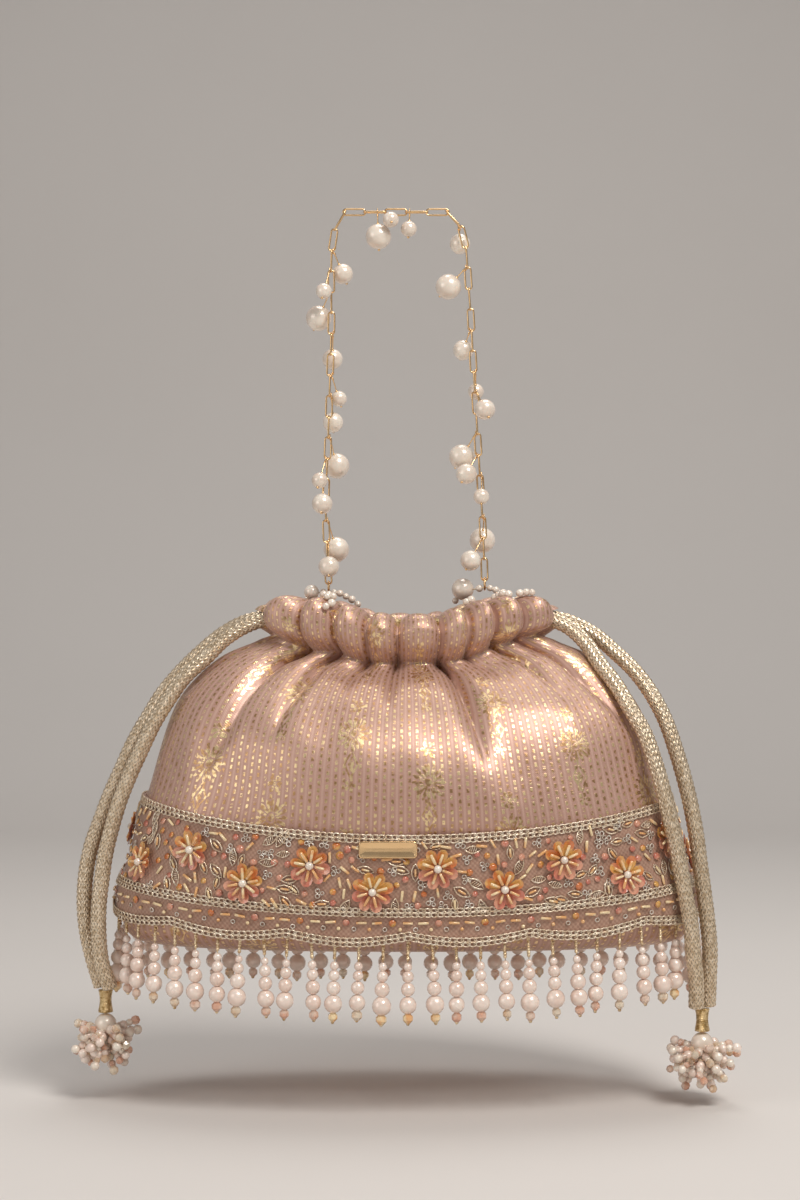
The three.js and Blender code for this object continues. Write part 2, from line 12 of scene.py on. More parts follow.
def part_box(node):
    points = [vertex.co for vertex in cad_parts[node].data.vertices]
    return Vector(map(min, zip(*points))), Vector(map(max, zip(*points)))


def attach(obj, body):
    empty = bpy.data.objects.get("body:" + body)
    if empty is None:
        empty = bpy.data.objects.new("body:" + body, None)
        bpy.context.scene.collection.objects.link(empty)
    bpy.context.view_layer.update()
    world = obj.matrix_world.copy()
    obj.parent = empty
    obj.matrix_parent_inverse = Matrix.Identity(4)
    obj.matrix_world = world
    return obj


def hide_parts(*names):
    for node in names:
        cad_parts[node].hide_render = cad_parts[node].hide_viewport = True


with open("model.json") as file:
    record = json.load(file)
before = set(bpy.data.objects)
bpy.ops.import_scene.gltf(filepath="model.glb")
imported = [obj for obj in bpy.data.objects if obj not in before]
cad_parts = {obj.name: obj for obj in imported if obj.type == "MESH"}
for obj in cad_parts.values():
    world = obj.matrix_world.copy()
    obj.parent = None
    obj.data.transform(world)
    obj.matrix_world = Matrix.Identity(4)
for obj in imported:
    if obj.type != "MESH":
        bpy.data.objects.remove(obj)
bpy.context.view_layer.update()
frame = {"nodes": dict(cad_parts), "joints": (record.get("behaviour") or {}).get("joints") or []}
mm = 0.001  # every size below is in millimetres and is turned to metres when its mesh is made
bagX = 4.5  # the bag hangs a little to the right of the handle's middle

cameraSettings = dict(x=1.6, y=-907, z=-151.3, lens=69.75)
cameraData = bpy.data.cameras.new("camera")
cameraData.lens = cameraSettings["lens"]
camera = bpy.data.objects.new("camera", cameraData)
camera.location = [cameraSettings[axis] * mm for axis in "xyz"]
camera.rotation_euler = (math.pi / 2, 0, 0)
bpy.context.scene.collection.objects.link(camera)
bpy.context.scene.camera = camera


def newMaterial(name):
    material = bpy.data.materials.new(name)
    material.use_nodes = True
    tree = material.node_tree
    return material, tree, tree.nodes["Principled BSDF"]


def setInput(node, key, value):
    # one input gets a value, or a link when the value is another node's socket
    if isinstance(value, bpy.types.NodeSocket):
        node.id_data.links.new(value, node.inputs[key])
    else:
        node.inputs[key].default_value = value


def setSockets(node, **values):
    for name, value in values.items():
        setInput(node, name.replace("_", " "), value)


def put(tree, kind, *links, **settings):
    # one node: settings are its properties, links are sockets or values for its inputs in order
    node = tree.nodes.new(kind)
    for name, value in settings.items():
        setattr(node, name, value)
    for index, link in enumerate(links):
        setInput(node, index, link)
    return node


def calc(tree, operation, *links):
    return put(tree, "ShaderNodeMath", *links, operation=operation).outputs[0]


def remap(tree, value, low, high, toLow=0.0, toHigh=1.0):
    node = put(tree, "ShaderNodeMapRange", value, low, high, toLow, toHigh, interpolation_type="SMOOTHSTEP")
    return node.outputs[0]


def mixColors(tree, factor, first, second):
    node = put(tree, "ShaderNodeMix", data_type="RGBA")
    for index, value in ((0, factor), (6, first), (7, second)):
        setInput(node, index, (*value, 1) if isinstance(value, tuple) else value)
    return node.outputs[2]


def noiseAt(tree, vector, scale, detail=3.0):
    node = put(tree, "ShaderNodeTexNoise")
    setSockets(node, Vector=vector, Scale=scale, Detail=detail, Roughness=0.55)
    return node.outputs["Fac"]


def bumpFrom(tree, height, strength, distance, normal=None):
    node = put(tree, "ShaderNodeBump")
    setSockets(node, Strength=strength, Distance=distance, Height=height)
    if normal is not None:
        setSockets(node, Normal=normal)
    return node.outputs[0]


def coordsOf(tree, kind="Object"):
    return put(tree, "ShaderNodeTexCoord").outputs[kind]


def mottled(tree, place, scale, detail, edges, low, high):
    # two colors in cloudy patches with edges as sharp as asked
    return mixColors(tree, remap(tree, noiseAt(tree, place, scale, detail), *edges), low, high)


def unevenly(tree, place, scale, span, least):
    # a value that wanders between its least and that plus its span
    return calc(tree, "MULTIPLY_ADD", noiseAt(tree, place, scale), span, least)


def centred(tree, value):
    # the place within a repeat, from its middle
    return calc(tree, "SUBTRACT", calc(tree, "FRACT", value), 0.5)


def newGroup(name, numbers, result):
    # a shader group that works from the UV and some numbers
    group = bpy.data.node_groups.new(name, "ShaderNodeTree")
    for label in ("UV", *numbers):
        kind = "NodeSocketVector" if label == "UV" else "NodeSocketFloat"
        group.interface.new_socket(label, in_out="INPUT", socket_type=kind)
    group.interface.new_socket(result, in_out="OUTPUT", socket_type="NodeSocketFloat")
    start, end = group.nodes.new("NodeGroupInput"), group.nodes.new("NodeGroupOutput")
    uv = put(group, "ShaderNodeSeparateXYZ", start.outputs["UV"]).outputs
    return group, start.outputs, end, uv


def makeDashGroup():
    # woven dashes: stripes across U, each broken up along V, 1 where the foil lies
    group, given, end, uv = newGroup("wovenDashes", ("Pitch", "Step"), "Mask")
    column = calc(group, "DIVIDE", uv[0], given["Pitch"])
    odd = calc(group, "FLOORED_MODULO", calc(group, "FLOOR", column), 2.0)
    across = calc(group, "ABSOLUTE", centred(group, column))
    row = calc(group, "DIVIDE", uv[1], given["Step"])
    row = calc(group, "ADD", row, calc(group, "MULTIPLY", odd, 0.5))
    along = calc(group, "ABSOLUTE", centred(group, row))
    stripe = remap(group, across, 0.13, 0.2, 1.0, 0.0)
    dash = remap(group, along, 0.26, 0.34, 1.0, 0.0)
    setSockets(end, Mask=calc(group, "MULTIPLY", stripe, dash))
    return group


def makeButiGroup():
    # round and pointed woven flowers, in columns that are out of step with each other
    group, given, end, uv = newGroup("wovenButis", ("Column", "Repeat"), "Mask")
    column = calc(group, "DIVIDE", uv[0], given["Column"])
    x = calc(group, "MULTIPLY", centred(group, column), given["Column"])
    row = calc(group, "DIVIDE", uv[1], given["Repeat"])
    row = calc(group, "ADD", row, calc(group, "MULTIPLY", calc(group, "FLOOR", column), 0.37))
    y = calc(group, "MULTIPLY", centred(group, row), given["Repeat"])

    def burst(centre, size, petals):
        dy = calc(group, "SUBTRACT", y, centre)
        squares = [calc(group, "MULTIPLY", side, side) for side in (x, dy)]
        radius = calc(group, "SQRT", calc(group, "ADD", *squares))
        ray = calc(group, "COSINE", calc(group, "MULTIPLY", calc(group, "ARCTAN2", dy, x), float(petals)))
        inside = calc(group, "LESS_THAN", radius, calc(group, "MULTIPLY_ADD", ray, size * 0.16, size))
        parting = calc(group, "ADD", ray, calc(group, "MULTIPLY", radius, -0.35 / size))
        cut = calc(group, "GREATER_THAN", parting, -0.72)
        ring = calc(group, "ABSOLUTE", calc(group, "SUBTRACT", radius, size * 0.3))
        body = calc(group, "MULTIPLY", inside, cut)
        body = calc(group, "MULTIPLY", body, remap(group, ring, size * 0.03, size * 0.08))
        return calc(group, "MAXIMUM", body, calc(group, "LESS_THAN", radius, size * 0.2))

    def diamond(centre, wide, tall):
        dy = calc(group, "ABSOLUTE", calc(group, "SUBTRACT", y, centre))
        dx = calc(group, "ABSOLUTE", x)
        reach = calc(group, "ADD", calc(group, "DIVIDE", dx, wide), calc(group, "DIVIDE", dy, tall))
        edge = calc(group, "LESS_THAN", calc(group, "ABSOLUTE", calc(group, "SUBTRACT", reach, 0.86)), 0.14)
        return calc(group, "MAXIMUM", edge, calc(group, "LESS_THAN", reach, 0.42))

    mask = burst(0.0, 0.0062, 16)
    for piece in (burst(0.0125, 0.003, 6), diamond(-0.0125, 0.0034, 0.0058), burst(-0.0205, 0.0022, 5)):
        mask = calc(group, "MAXIMUM", mask, piece)
    setSockets(end, Mask=mask)
    return group


def makeWeaveGroup():
    # fine over-and-under threads as a height
    group, given, end, uv = newGroup("threadWeave", ("Thread",), "Height")
    waves = []
    for axis in (0, 1):
        turn = calc(group, "MULTIPLY", calc(group, "DIVIDE", uv[axis], given["Thread"]), math.pi)
        waves.append(calc(group, "SINE", turn))
    setSockets(end, Height=calc(group, "MULTIPLY_ADD", calc(group, "MULTIPLY", *waves), 0.5, 0.5))
    return group


dashGroup, butiGroup, weaveGroup = makeDashGroup(), makeButiGroup(), makeWeaveGroup()


def useGroup(tree, group, **links):
    node = put(tree, "ShaderNodeGroup", node_tree=group)
    setSockets(node, **links)
    return node.outputs[0]


def makeBrocade():
    look = dict(silk=(0.55, 0.335, 0.265), shade=(0.4, 0.215, 0.165), stripe=(0.64, 0.43, 0.35),
                foil=(0.93, 0.72, 0.4), foilDeep=(0.52, 0.31, 0.15), pitch=0.00345)
    material, tree, shader = newMaterial("roseBrocade")
    uv, place = coordsOf(tree, "UV"), coordsOf(tree)
    dashes = useGroup(tree, dashGroup, UV=uv, Pitch=look["pitch"], Step=0.0026)
    butis = useGroup(tree, butiGroup, UV=uv, Column=0.0328, Repeat=0.052)
    dashes = calc(tree, "MULTIPLY", dashes, calc(tree, "SUBTRACT", 1.0, butis))
    worn = remap(tree, noiseAt(tree, place, 900.0, 2.0), 0.34, 0.46)
    foil = calc(tree, "MULTIPLY", calc(tree, "MAXIMUM", dashes, butis), worn)
    silk = mottled(tree, place, 26.0, 2.0, (0.3, 0.7), look["shade"], look["silk"])
    silk = mixColors(tree, 0.55, silk, look["silk"])
    column = calc(tree, "DIVIDE", put(tree, "ShaderNodeSeparateXYZ", uv).outputs[0], look["pitch"])
    between = remap(tree, calc(tree, "ABSOLUTE", centred(tree, column)), 0.3, 0.44)  # satin between dashes
    silk = mixColors(tree, calc(tree, "MULTIPLY", between, 0.6), silk, look["stripe"])
    gold = mottled(tree, place, 420.0, 1.0, (0.4, 0.6), look["foilDeep"], look["foil"])
    rough = calc(tree, "MULTIPLY_ADD", noiseAt(tree, place, 60.0, 4.0), 0.16, 0.34)
    normal = bumpFrom(tree, useGroup(tree, weaveGroup, UV=uv, Thread=0.00042), 0.22, 0.00012)
    normal = bumpFrom(tree, foil, 0.3, 0.00012, normal)
    normal = bumpFrom(tree, noiseAt(tree, place, 150.0, 4.0), 0.22, 0.0009, normal)
    setSockets(shader, Base_Color=mixColors(tree, foil, silk, gold), Normal=normal,
               Metallic=calc(tree, "MULTIPLY_ADD", foil, 0.62, 0.3),
               Roughness=calc(tree, "MULTIPLY_ADD", foil, -0.1, rough),
               Sheen_Weight=0.35, Sheen_Roughness=0.4, Sheen_Tint=(1, 0.84, 0.74, 1), Anisotropic=0.35)
    return material


def makeSatin():
    material, tree, shader = newMaterial("liningSatin")
    place = coordsOf(tree)
    weave = useGroup(tree, weaveGroup, UV=coordsOf(tree, "UV"), Thread=0.0005)
    normal = bumpFrom(tree, weave, 0.2, 0.00015)
    normal = bumpFrom(tree, noiseAt(tree, place, 90.0), 0.3, 0.001, normal)
    tone = mixColors(tree, noiseAt(tree, place, 40.0), (0.56, 0.36, 0.28), (0.68, 0.48, 0.38))
    setSockets(shader, Base_Color=tone, Normal=normal, Roughness=0.42, Sheen_Weight=0.4,
               Sheen_Tint=(1, 0.9, 0.82, 1))
    return material


def makeNet():
    # the band's ground: dyed net over cloth, with painted shade between the threads: the weave's gaps are
    # coloured darker than its raised threads
    material, tree, shader = newMaterial("bandGround")
    place = coordsOf(tree)
    weave = useGroup(tree, weaveGroup, UV=coordsOf(tree, "UV"), Thread=0.0009)
    tone = mixColors(tree, noiseAt(tree, place, 55.0), (0.26, 0.125, 0.085), (0.46, 0.27, 0.19))
    # painted shade: where the weave lies low the colour stays dark, where it rises it turns paler
    tone = mixColors(tree, calc(tree, "MULTIPLY", weave, 0.6), tone, (0.56, 0.37, 0.27))
    normal = bumpFrom(tree, weave, 0.5, 0.0003)
    normal = bumpFrom(tree, noiseAt(tree, place, 260.0, 4.0), 0.35, 0.0006, normal)
    setSockets(shader, Base_Color=tone, Normal=normal, Roughness=0.55, Metallic=0.1, Sheen_Weight=0.25)
    return material


def makeZari(name, low, high, twist):
    # metallic thread: fine wound ridges that catch the light
    material, tree, shader = newMaterial(name)
    place = coordsOf(tree)
    wave = put(tree, "ShaderNodeTexWave", wave_type="BANDS", bands_direction="DIAGONAL")
    setSockets(wave, Vector=place, Scale=twist, Distortion=1.5, Detail=1.0)
    setSockets(shader, Base_Color=mottled(tree, place, 700.0, 2.0, (0.35, 0.65), low, high),
               Normal=bumpFrom(tree, wave.outputs["Fac"], 0.5, 0.0001),
               Roughness=unevenly(tree, place, 300.0, 0.25, 0.2), Metallic=0.85, Anisotropic=0.3)
    return material


def makeGold():
    material, tree, shader = newMaterial("polishedGold")
    place = coordsOf(tree)
    tone = mixColors(tree, noiseAt(tree, place, 120.0), (0.86, 0.55, 0.27), (0.96, 0.7, 0.4))
    setSockets(shader, Base_Color=tone, Roughness=unevenly(tree, place, 340.0, 0.16, 0.12),
               Normal=bumpFrom(tree, noiseAt(tree, place, 900.0, 2.0), 0.12, 0.0001), Metallic=1.0)
    return material


def makePearl(name, low, high, coat=0.7):
    material, tree, shader = newMaterial(name)
    place = coordsOf(tree)
    setSockets(shader, Base_Color=mottled(tree, place, 130.0, 3.0, (0.3, 0.7), low, high),
               Roughness=unevenly(tree, place, 130.0, 0.12, 0.2),
               Normal=bumpFrom(tree, noiseAt(tree, place, 1500.0, 2.0), 0.05, 0.0001),
               Metallic=0.12, Coat_Weight=coat, Coat_Roughness=0.12,
               Sheen_Weight=0.3, Sheen_Tint=(0.95, 0.74, 0.66, 1),
               Subsurface_Weight=0.12, Subsurface_Scale=0.002, Subsurface_Radius=(1, 0.7, 0.6))
    return material


def makeCrystal(name, low, high, weight):
    material, tree, shader = newMaterial(name)
    place = coordsOf(tree)
    setSockets(shader, Base_Color=mottled(tree, place, 240.0, 1.0, (0.4, 0.6), low, high),
               Roughness=unevenly(tree, place, 400.0, 0.1, 0.03),
               Transmission_Weight=weight, IOR=1.52, Coat_Weight=0.8, Coat_Roughness=0.05)
    return material


def makeLurex():
    # knitted tube: rows of V stitches in pale metal yarn, with painted shade: the gaps between the stitches
    # are coloured near black
    look = dict(yarn=(0.95, 0.81, 0.62), deep=(0.6, 0.46, 0.3), gap=(0.12, 0.08, 0.045),
                columns=12.0, row=0.0022)
    material, tree, shader = newMaterial("knittedLurex")
    uv = put(tree, "ShaderNodeSeparateXYZ", coordsOf(tree, "UV")).outputs
    side = calc(tree, "ABSOLUTE", centred(tree, calc(tree, "MULTIPLY", uv[0], look["columns"])))
    slanted = calc(tree, "MULTIPLY_ADD", side, 1.5, calc(tree, "DIVIDE", uv[1], look["row"]))
    along = calc(tree, "ABSOLUTE", centred(tree, slanted))
    yarn = calc(tree, "SUBTRACT", 1.0, calc(tree, "MULTIPLY", along, 1.9))
    edge = remap(tree, calc(tree, "ABSOLUTE", calc(tree, "SUBTRACT", side, 0.25)), 0.13, 0.25, 1.0, 0.25)
    height = calc(tree, "MULTIPLY", yarn, edge)
    place = coordsOf(tree)
    tone = mottled(tree, place, 800.0, 2.0, (0.35, 0.65), look["deep"], look["yarn"])
    # painted shade: the low parts of the knit take the near-black gap colour
    setSockets(shader, Base_Color=mixColors(tree, remap(tree, height, 0.04, 0.24), look["gap"], tone),
               Metallic=remap(tree, height, 0.1, 0.5, 0.2, 0.85),
               Roughness=unevenly(tree, place, 500.0, 0.2, 0.24), Normal=bumpFrom(tree, height, 0.5, 0.0004))
    return material


def makeCard():
    material, tree, shader = newMaterial("greyCard")
    place = coordsOf(tree)
    tone = mixColors(tree, noiseAt(tree, place, 500.0), (0.42, 0.36, 0.28), (0.56, 0.49, 0.4))
    setSockets(shader, Base_Color=tone, Normal=bumpFrom(tree, noiseAt(tree, place, 900.0), 0.3, 0.0002),
               Roughness=0.9)
    return material


brocade, satin, net, gold, lurex = makeBrocade(), makeSatin(), makeNet(), makeGold(), makeLurex()
silverZari = makeZari("silverGoldZari", (0.7, 0.54, 0.38), (1.0, 0.9, 0.74), 1400.0)
dabka = makeZari("coiledDabka", (0.62, 0.52, 0.42), (0.95, 0.9, 0.82), 2400.0)
goldThread = makeZari("goldThread", (0.42, 0.27, 0.1), (0.86, 0.66, 0.36), 1800.0)
stemBead = makeZari("stemBead", (0.55, 0.36, 0.18), (0.95, 0.8, 0.55), 900.0)
ivoryPearl = makePearl("ivoryPearl", (0.8, 0.68, 0.57), (0.93, 0.85, 0.74))
rosePearl = makePearl("rosePearl", (0.84, 0.66, 0.56), (0.95, 0.82, 0.73), 0.6)
peachCrystal = makeCrystal("peachCrystal", (0.95, 0.56, 0.4), (1.0, 0.8, 0.66), 0.4)
champagneCrystal = makeCrystal("champagneCrystal", (0.93, 0.68, 0.46), (1.0, 0.88, 0.7), 0.4)
amberSequin = makeCrystal("amberSequin", (0.86, 0.27, 0.08), (0.98, 0.56, 0.16), 0.35)
roseSequin = makeCrystal("roseSequin", (0.75, 0.25, 0.17), (0.9, 0.45, 0.3), 0.3)
bugleGold = makeCrystal("goldBugle", (0.92, 0.5, 0.2), (1.0, 0.8, 0.48), 0.15)
print("materials made")


def meshObject(name, vertices, faces, material, uvs=None, smooth=True):
    # vertices are in millimetres, uvs are one pair for each vertex, in metres
    mesh = bpy.data.meshes.new(name)
    mesh.from_pydata([tuple(v * mm for v in vertex) for vertex in vertices], [], faces)
    if uvs is not None:
        layer = mesh.uv_layers.new(name="cloth")
        for loop in mesh.loops:
            layer.data[loop.index].uv = uvs[loop.vertex_index]
    mesh.materials.append(material)
    mesh.polygons.foreach_set("use_smooth", [smooth] * len(mesh.polygons))
    made = bpy.data.objects.new(name, mesh)
    bpy.context.scene.collection.objects.link(made)
    return made


def gridFaces(rows, columns, looped=False):
    # the faces of a grid closed round its columns, and round its rows too when it's looped
    return [
        (r * columns + c, r * columns + (c + 1) % columns,
         (r + 1) % rows * columns + (c + 1) % columns, (r + 1) % rows * columns + c)
        for r in range(rows if looped else rows - 1)
        for c in range(columns)
    ]


def tubeFaces(rows, columns):
    # a grid closed round its columns, with a cap on its first row and its last one
    last = (rows - 1) * columns
    return gridFaces(rows, columns) + [tuple(range(columns - 1, -1, -1)), tuple(range(last, last + columns))]


def wrapSeam(made, width):
    # on the faces that cross the seam, U runs on past its end instead of back to 0
    layer = made.data.uv_layers[0]
    for polygon in made.data.polygons:
        coords = [layer.data[i].uv[0] for i in polygon.loop_indices]
        if len(coords) == 4 and max(coords) - min(coords) > width / 2:
            for i in polygon.loop_indices:
                if layer.data[i].uv[0] < width / 2:
                    layer.data[i].uv[0] += width


def fixNormals(made, weld=0.0):
    work = bmesh.new()
    work.from_mesh(made.data)
    if weld:
        bmesh.ops.remove_doubles(work, verts=work.verts, dist=weld)
    bmesh.ops.recalc_face_normals(work, faces=work.faces)
    work.to_mesh(made.data)
    work.free()


def applyModifiers(made):
    evaluated = made.evaluated_get(bpy.context.evaluated_depsgraph_get())
    mesh = bpy.data.meshes.new_from_object(evaluated)
    made.modifiers.clear()
    made.data = mesh
    return made


def joinPieces(name, pieces):
    # several meshes made one object, each keeping its own materials
    target = pieces[0]
    with bpy.context.temp_override(active_object=target, object=target, selected_editable_objects=pieces,
                                   selected_objects=pieces):
        bpy.ops.object.join()
    target.name = name
    target.data.name = name
    return target


def newTree(name, inputs):
    tree = bpy.data.node_groups.new(name, "GeometryNodeTree")
    tree.interface.new_socket("Geometry", in_out="INPUT", socket_type="NodeSocketGeometry")
    for label, kind, value in inputs:
        socket = tree.interface.new_socket(label, in_out="INPUT", socket_type=kind)
        if value is not None:
            socket.default_value = value
    tree.interface.new_socket("Geometry", in_out="OUTPUT", socket_type="NodeSocketGeometry")
    return tree, tree.nodes.new("NodeGroupInput").outputs, tree.nodes.new("NodeGroupOutput")


def finishTree(tree, given, end, geometry):
    realized = put(tree, "GeometryNodeRealizeInstances", geometry)
    finished = put(tree, "GeometryNodeSetMaterial", realized.outputs[0])
    setSockets(finished, Material=given["Finish"])
    setSockets(end, Geometry=finished.outputs[0])


def named(tree, name, kind="FLOAT_VECTOR"):
    node = put(tree, "GeometryNodeInputNamedAttribute", data_type=kind)
    setSockets(node, Name=name)
    return node.outputs["Attribute"]


def objectOf(tree, socket):
    return put(tree, "GeometryNodeObjectInfo", socket).outputs["Geometry"]


def aimed(tree, along, facing):
    # a rotation that lays Z along one direction and turns Y towards the other
    first = put(tree, "FunctionNodeAlignRotationToVector", axis="Z")
    setSockets(first, Vector=along)
    second = put(tree, "FunctionNodeAlignRotationToVector", axis="Y", pivot_axis="Z")
    setSockets(second, Rotation=first.outputs[0], Vector=facing)
    return second.outputs[0]


def makeBeadTree():
    # a bead on every point, turned by the point's own directions and sized by its own size
    tree, given, end = newTree("strungBeads", [
        ("Bead", "NodeSocketObject", None), ("Size", "NodeSocketFloat", 1.0),
        ("Unevenness", "NodeSocketFloat", 0.05), ("Finish", "NodeSocketMaterial", None),
        ("Seed", "NodeSocketInt", 1),
    ])
    jitter = put(tree, "FunctionNodeRandomValue", data_type="FLOAT")
    setInput(jitter, 2, calc(tree, "SUBTRACT", 1.0, given["Unevenness"]))
    setInput(jitter, 3, calc(tree, "ADD", 1.0, given["Unevenness"]))
    setSockets(jitter, Seed=given["Seed"])
    size = calc(tree, "MULTIPLY", given["Size"], named(tree, "size", "FLOAT"))
    size = calc(tree, "MULTIPLY", size, jitter.outputs[1])
    placed = put(tree, "GeometryNodeInstanceOnPoints")
    setSockets(placed, Points=given["Geometry"], Instance=objectOf(tree, given["Bead"]), Scale=size,
               Rotation=aimed(tree, named(tree, "along"), named(tree, "facing")))
    finishTree(tree, given, end, placed.outputs[0])
    return tree


def makeThreadTree():
    # a round thread or wire along every run of edges
    tree, given, end = newTree("laidThread", [
        ("Thickness", "NodeSocketFloat", 0.0003), ("Sides", "NodeSocketInt", 5),
        ("Finish", "NodeSocketMaterial", None),
    ])
    curve = put(tree, "GeometryNodeMeshToCurve", given["Geometry"])
    profile = put(tree, "GeometryNodeCurvePrimitiveCircle")
    setSockets(profile, Resolution=given["Sides"], Radius=given["Thickness"])
    swept = put(tree, "GeometryNodeCurveToMesh")
    setSockets(swept, Curve=curve.outputs[0], Profile_Curve=profile.outputs[0], Fill_Caps=True)
    finishTree(tree, given, end, swept.outputs[0])
    return tree


def makeStitchTree():
    # stitches at an even pitch along a path, lying on the cloth under it
    tree, given, end = newTree("stitchRow", [
        ("Stitch", "NodeSocketObject", None), ("Pitch", "NodeSocketFloat", 0.0024),
        ("Finish", "NodeSocketMaterial", None),
    ])
    curve = put(tree, "GeometryNodeMeshToCurve", given["Geometry"])
    even = put(tree, "GeometryNodeResampleCurve", mode="LENGTH")
    setSockets(even, Curve=curve.outputs[0], Length=given["Pitch"])
    tangent = put(tree, "GeometryNodeInputTangent").outputs[0]
    placed = put(tree, "GeometryNodeInstanceOnPoints")
    setSockets(placed, Points=even.outputs[0], Instance=objectOf(tree, given["Stitch"]),
               Rotation=aimed(tree, tangent, named(tree, "facing")))
    finishTree(tree, given, end, placed.outputs[0])
    return tree


beadTree, threadTree, stitchTree = makeBeadTree(), makeThreadTree(), makeStitchTree()


def carrierMesh(name, points, along=None, facing=None, size=None, edges=()):
    # the points that a tree works on, in millimetres, with their directions and sizes
    mesh = bpy.data.meshes.new(name)
    mesh.from_pydata([tuple(v * mm for v in point) for point in points], list(edges), [])
    for label, values in (("along", along), ("facing", facing)):
        if values is not None:
            layer = mesh.attributes.new(label, "FLOAT_VECTOR", "POINT")
            layer.data.foreach_set("vector", np.array([tuple(v) for v in values], dtype=float).ravel())
    if size is not None:
        mesh.attributes.new("size", "FLOAT", "POINT").data.foreach_set("value", np.array(size, dtype=float))
    return mesh


def pathMesh(name, points, facing=None, closed=True):
    # the points with an edge from each to the next
    count = len(points)
    edges = [(i, (i + 1) % count) for i in range(count if closed else count - 1)]
    return carrierMesh(name, points, facing=facing, edges=edges)


def grow(name, mesh, tree, **inputs):
    # the tree's result as a plain mesh, with the modifier gone
    made = bpy.data.objects.new(name, mesh)
    bpy.context.scene.collection.objects.link(made)
    modifier = made.modifiers.new(tree.name, "NODES")
    modifier.node_group = tree
    sockets = {item.name: item.identifier for item in tree.interface.items_tree if item.in_out == "INPUT"}
    for label, value in inputs.items():
        modifier[sockets[label]] = value
    return applyModifiers(made)


def growBeads(name, rows, bead, finish, seed=1, unevenness=0.05):
    # each row: place, direction along the thread, direction away from the cloth, size
    mesh = carrierMesh(name, *[[row[i] for row in rows] for i in range(4)])
    return grow(name, mesh, beadTree, Bead=bead, Finish=finish, Seed=seed, Unevenness=unevenness)


beadShapes = bpy.data.collections.new("beadShapes")  # the single beads and stitches, kept out of the scene


def template(name, vertices, faces, smooth=True):
    mesh = bpy.data.meshes.new(name)
    mesh.from_pydata([tuple(v * mm for v in vertex) for vertex in vertices], [], faces)
    mesh.polygons.foreach_set("use_smooth", [smooth] * len(mesh.polygons))
    made = bpy.data.objects.new(name, mesh)
    beadShapes.objects.link(made)
    return made


def turned(name, profile, sides, smooth=True):
    # a bead turned about Z: its profile is radius and height, closed at both ends
    vertices = [
        (r * math.cos(2 * math.pi * i / sides), r * math.sin(2 * math.pi * i / sides), z)
        for r, z in profile
        for i in range(sides)
    ]
    return template(name, vertices, tubeFaces(len(profile), sides), smooth)


def roundProfile(rows, hole):
    # the outline of a pearl of radius 1, from hole to hole
    low = math.asin(hole)
    turns = [low + (math.pi - 2 * low) * i / rows for i in range(rows + 1)]
    return [(math.sin(t), -math.cos(t)) for t in turns]


def wireLoop(name, outline, radius, sides):
    # a closed loop of wire along an outline, in millimetres
    count = len(outline)
    points = [Vector(p) for p in outline]
    vertices = []
    for i, point in enumerate(points):
        along = (points[(i + 1) % count] - points[i - 1]).normalized()
        out = along.cross(Vector((0, 1, 0))).normalized()
        up = out.cross(along)
        for k in range(sides):
            turn = 2 * math.pi * k / sides
            vertices.append(point + (out * math.cos(turn) + up * math.sin(turn)) * radius)
    made = template(name, vertices, gridFaces(count, sides, looped=True))
    fixNormals(made)
    return made


finePearl = turned("finePearl", roundProfile(20, 0.1), 32)
smallPearl = turned("smallPearl", roundProfile(7, 0.22), 11)
tinyBead = turned("tinyBead", roundProfile(4, 0.45), 7)
cutCrystal = turned("cutCrystal", [(0.45, -0.9), (0.95, -0.36), (0.95, 0.36), (0.45, 0.9)], 8, smooth=False)
bugle = turned("bugle", [(0.32, -1.95), (0.52, -1.8), (0.55, 0), (0.52, 1.8), (0.32, 1.95)], 6)
sequin = turned("sequin", [(0.25, -0.05), (1.3, -0.16), (1.38, 0.06), (0.25, 0.1)], 9)


def smoothRoute(points, spacing):
    # a centripetal Catmull-Rom curve through the points, cut to even steps
    path = [Vector(p) for p in points]
    path = [path[0] * 2 - path[1]] + path + [path[-1] * 2 - path[-2]]
    fine = []
    for a, b, c, d in zip(path, path[1:], path[2:], path[3:]):
        knots = [0.0]
        for p, q in ((a, b), (b, c), (c, d)):
            knots.append(knots[-1] + max(1e-6, (q - p).length) ** 0.5)
        for k in range(40):
            t = knots[1] + (knots[2] - knots[1]) * k / 40
            first = [
                p * ((knots[i + 1] - t) / (knots[i + 1] - knots[i]))
                + q * ((t - knots[i]) / (knots[i + 1] - knots[i]))
                for i, (p, q) in enumerate(((a, b), (b, c), (c, d)))
            ]
            second = [
                first[i] * ((knots[i + 2] - t) / (knots[i + 2] - knots[i]))
                + first[i + 1] * ((t - knots[i]) / (knots[i + 2] - knots[i]))
                for i in (0, 1)
            ]
            span = knots[2] - knots[1]
            fine.append(second[0] * ((knots[2] - t) / span) + second[1] * ((t - knots[1]) / span))
    fine.append(path[-2].copy())
    lengths = [0.0]
    for p, q in zip(fine, fine[1:]):
        lengths.append(lengths[-1] + (q - p).length)
    steps = max(2, round(lengths[-1] / spacing))
    wanted = [lengths[-1] * i / steps for i in range(steps + 1)]
    axes = [np.interp(wanted, lengths, [p[axis] for p in fine]) for axis in range(3)]
    return [Vector(p) for p in zip(*axes)], lengths[-1]


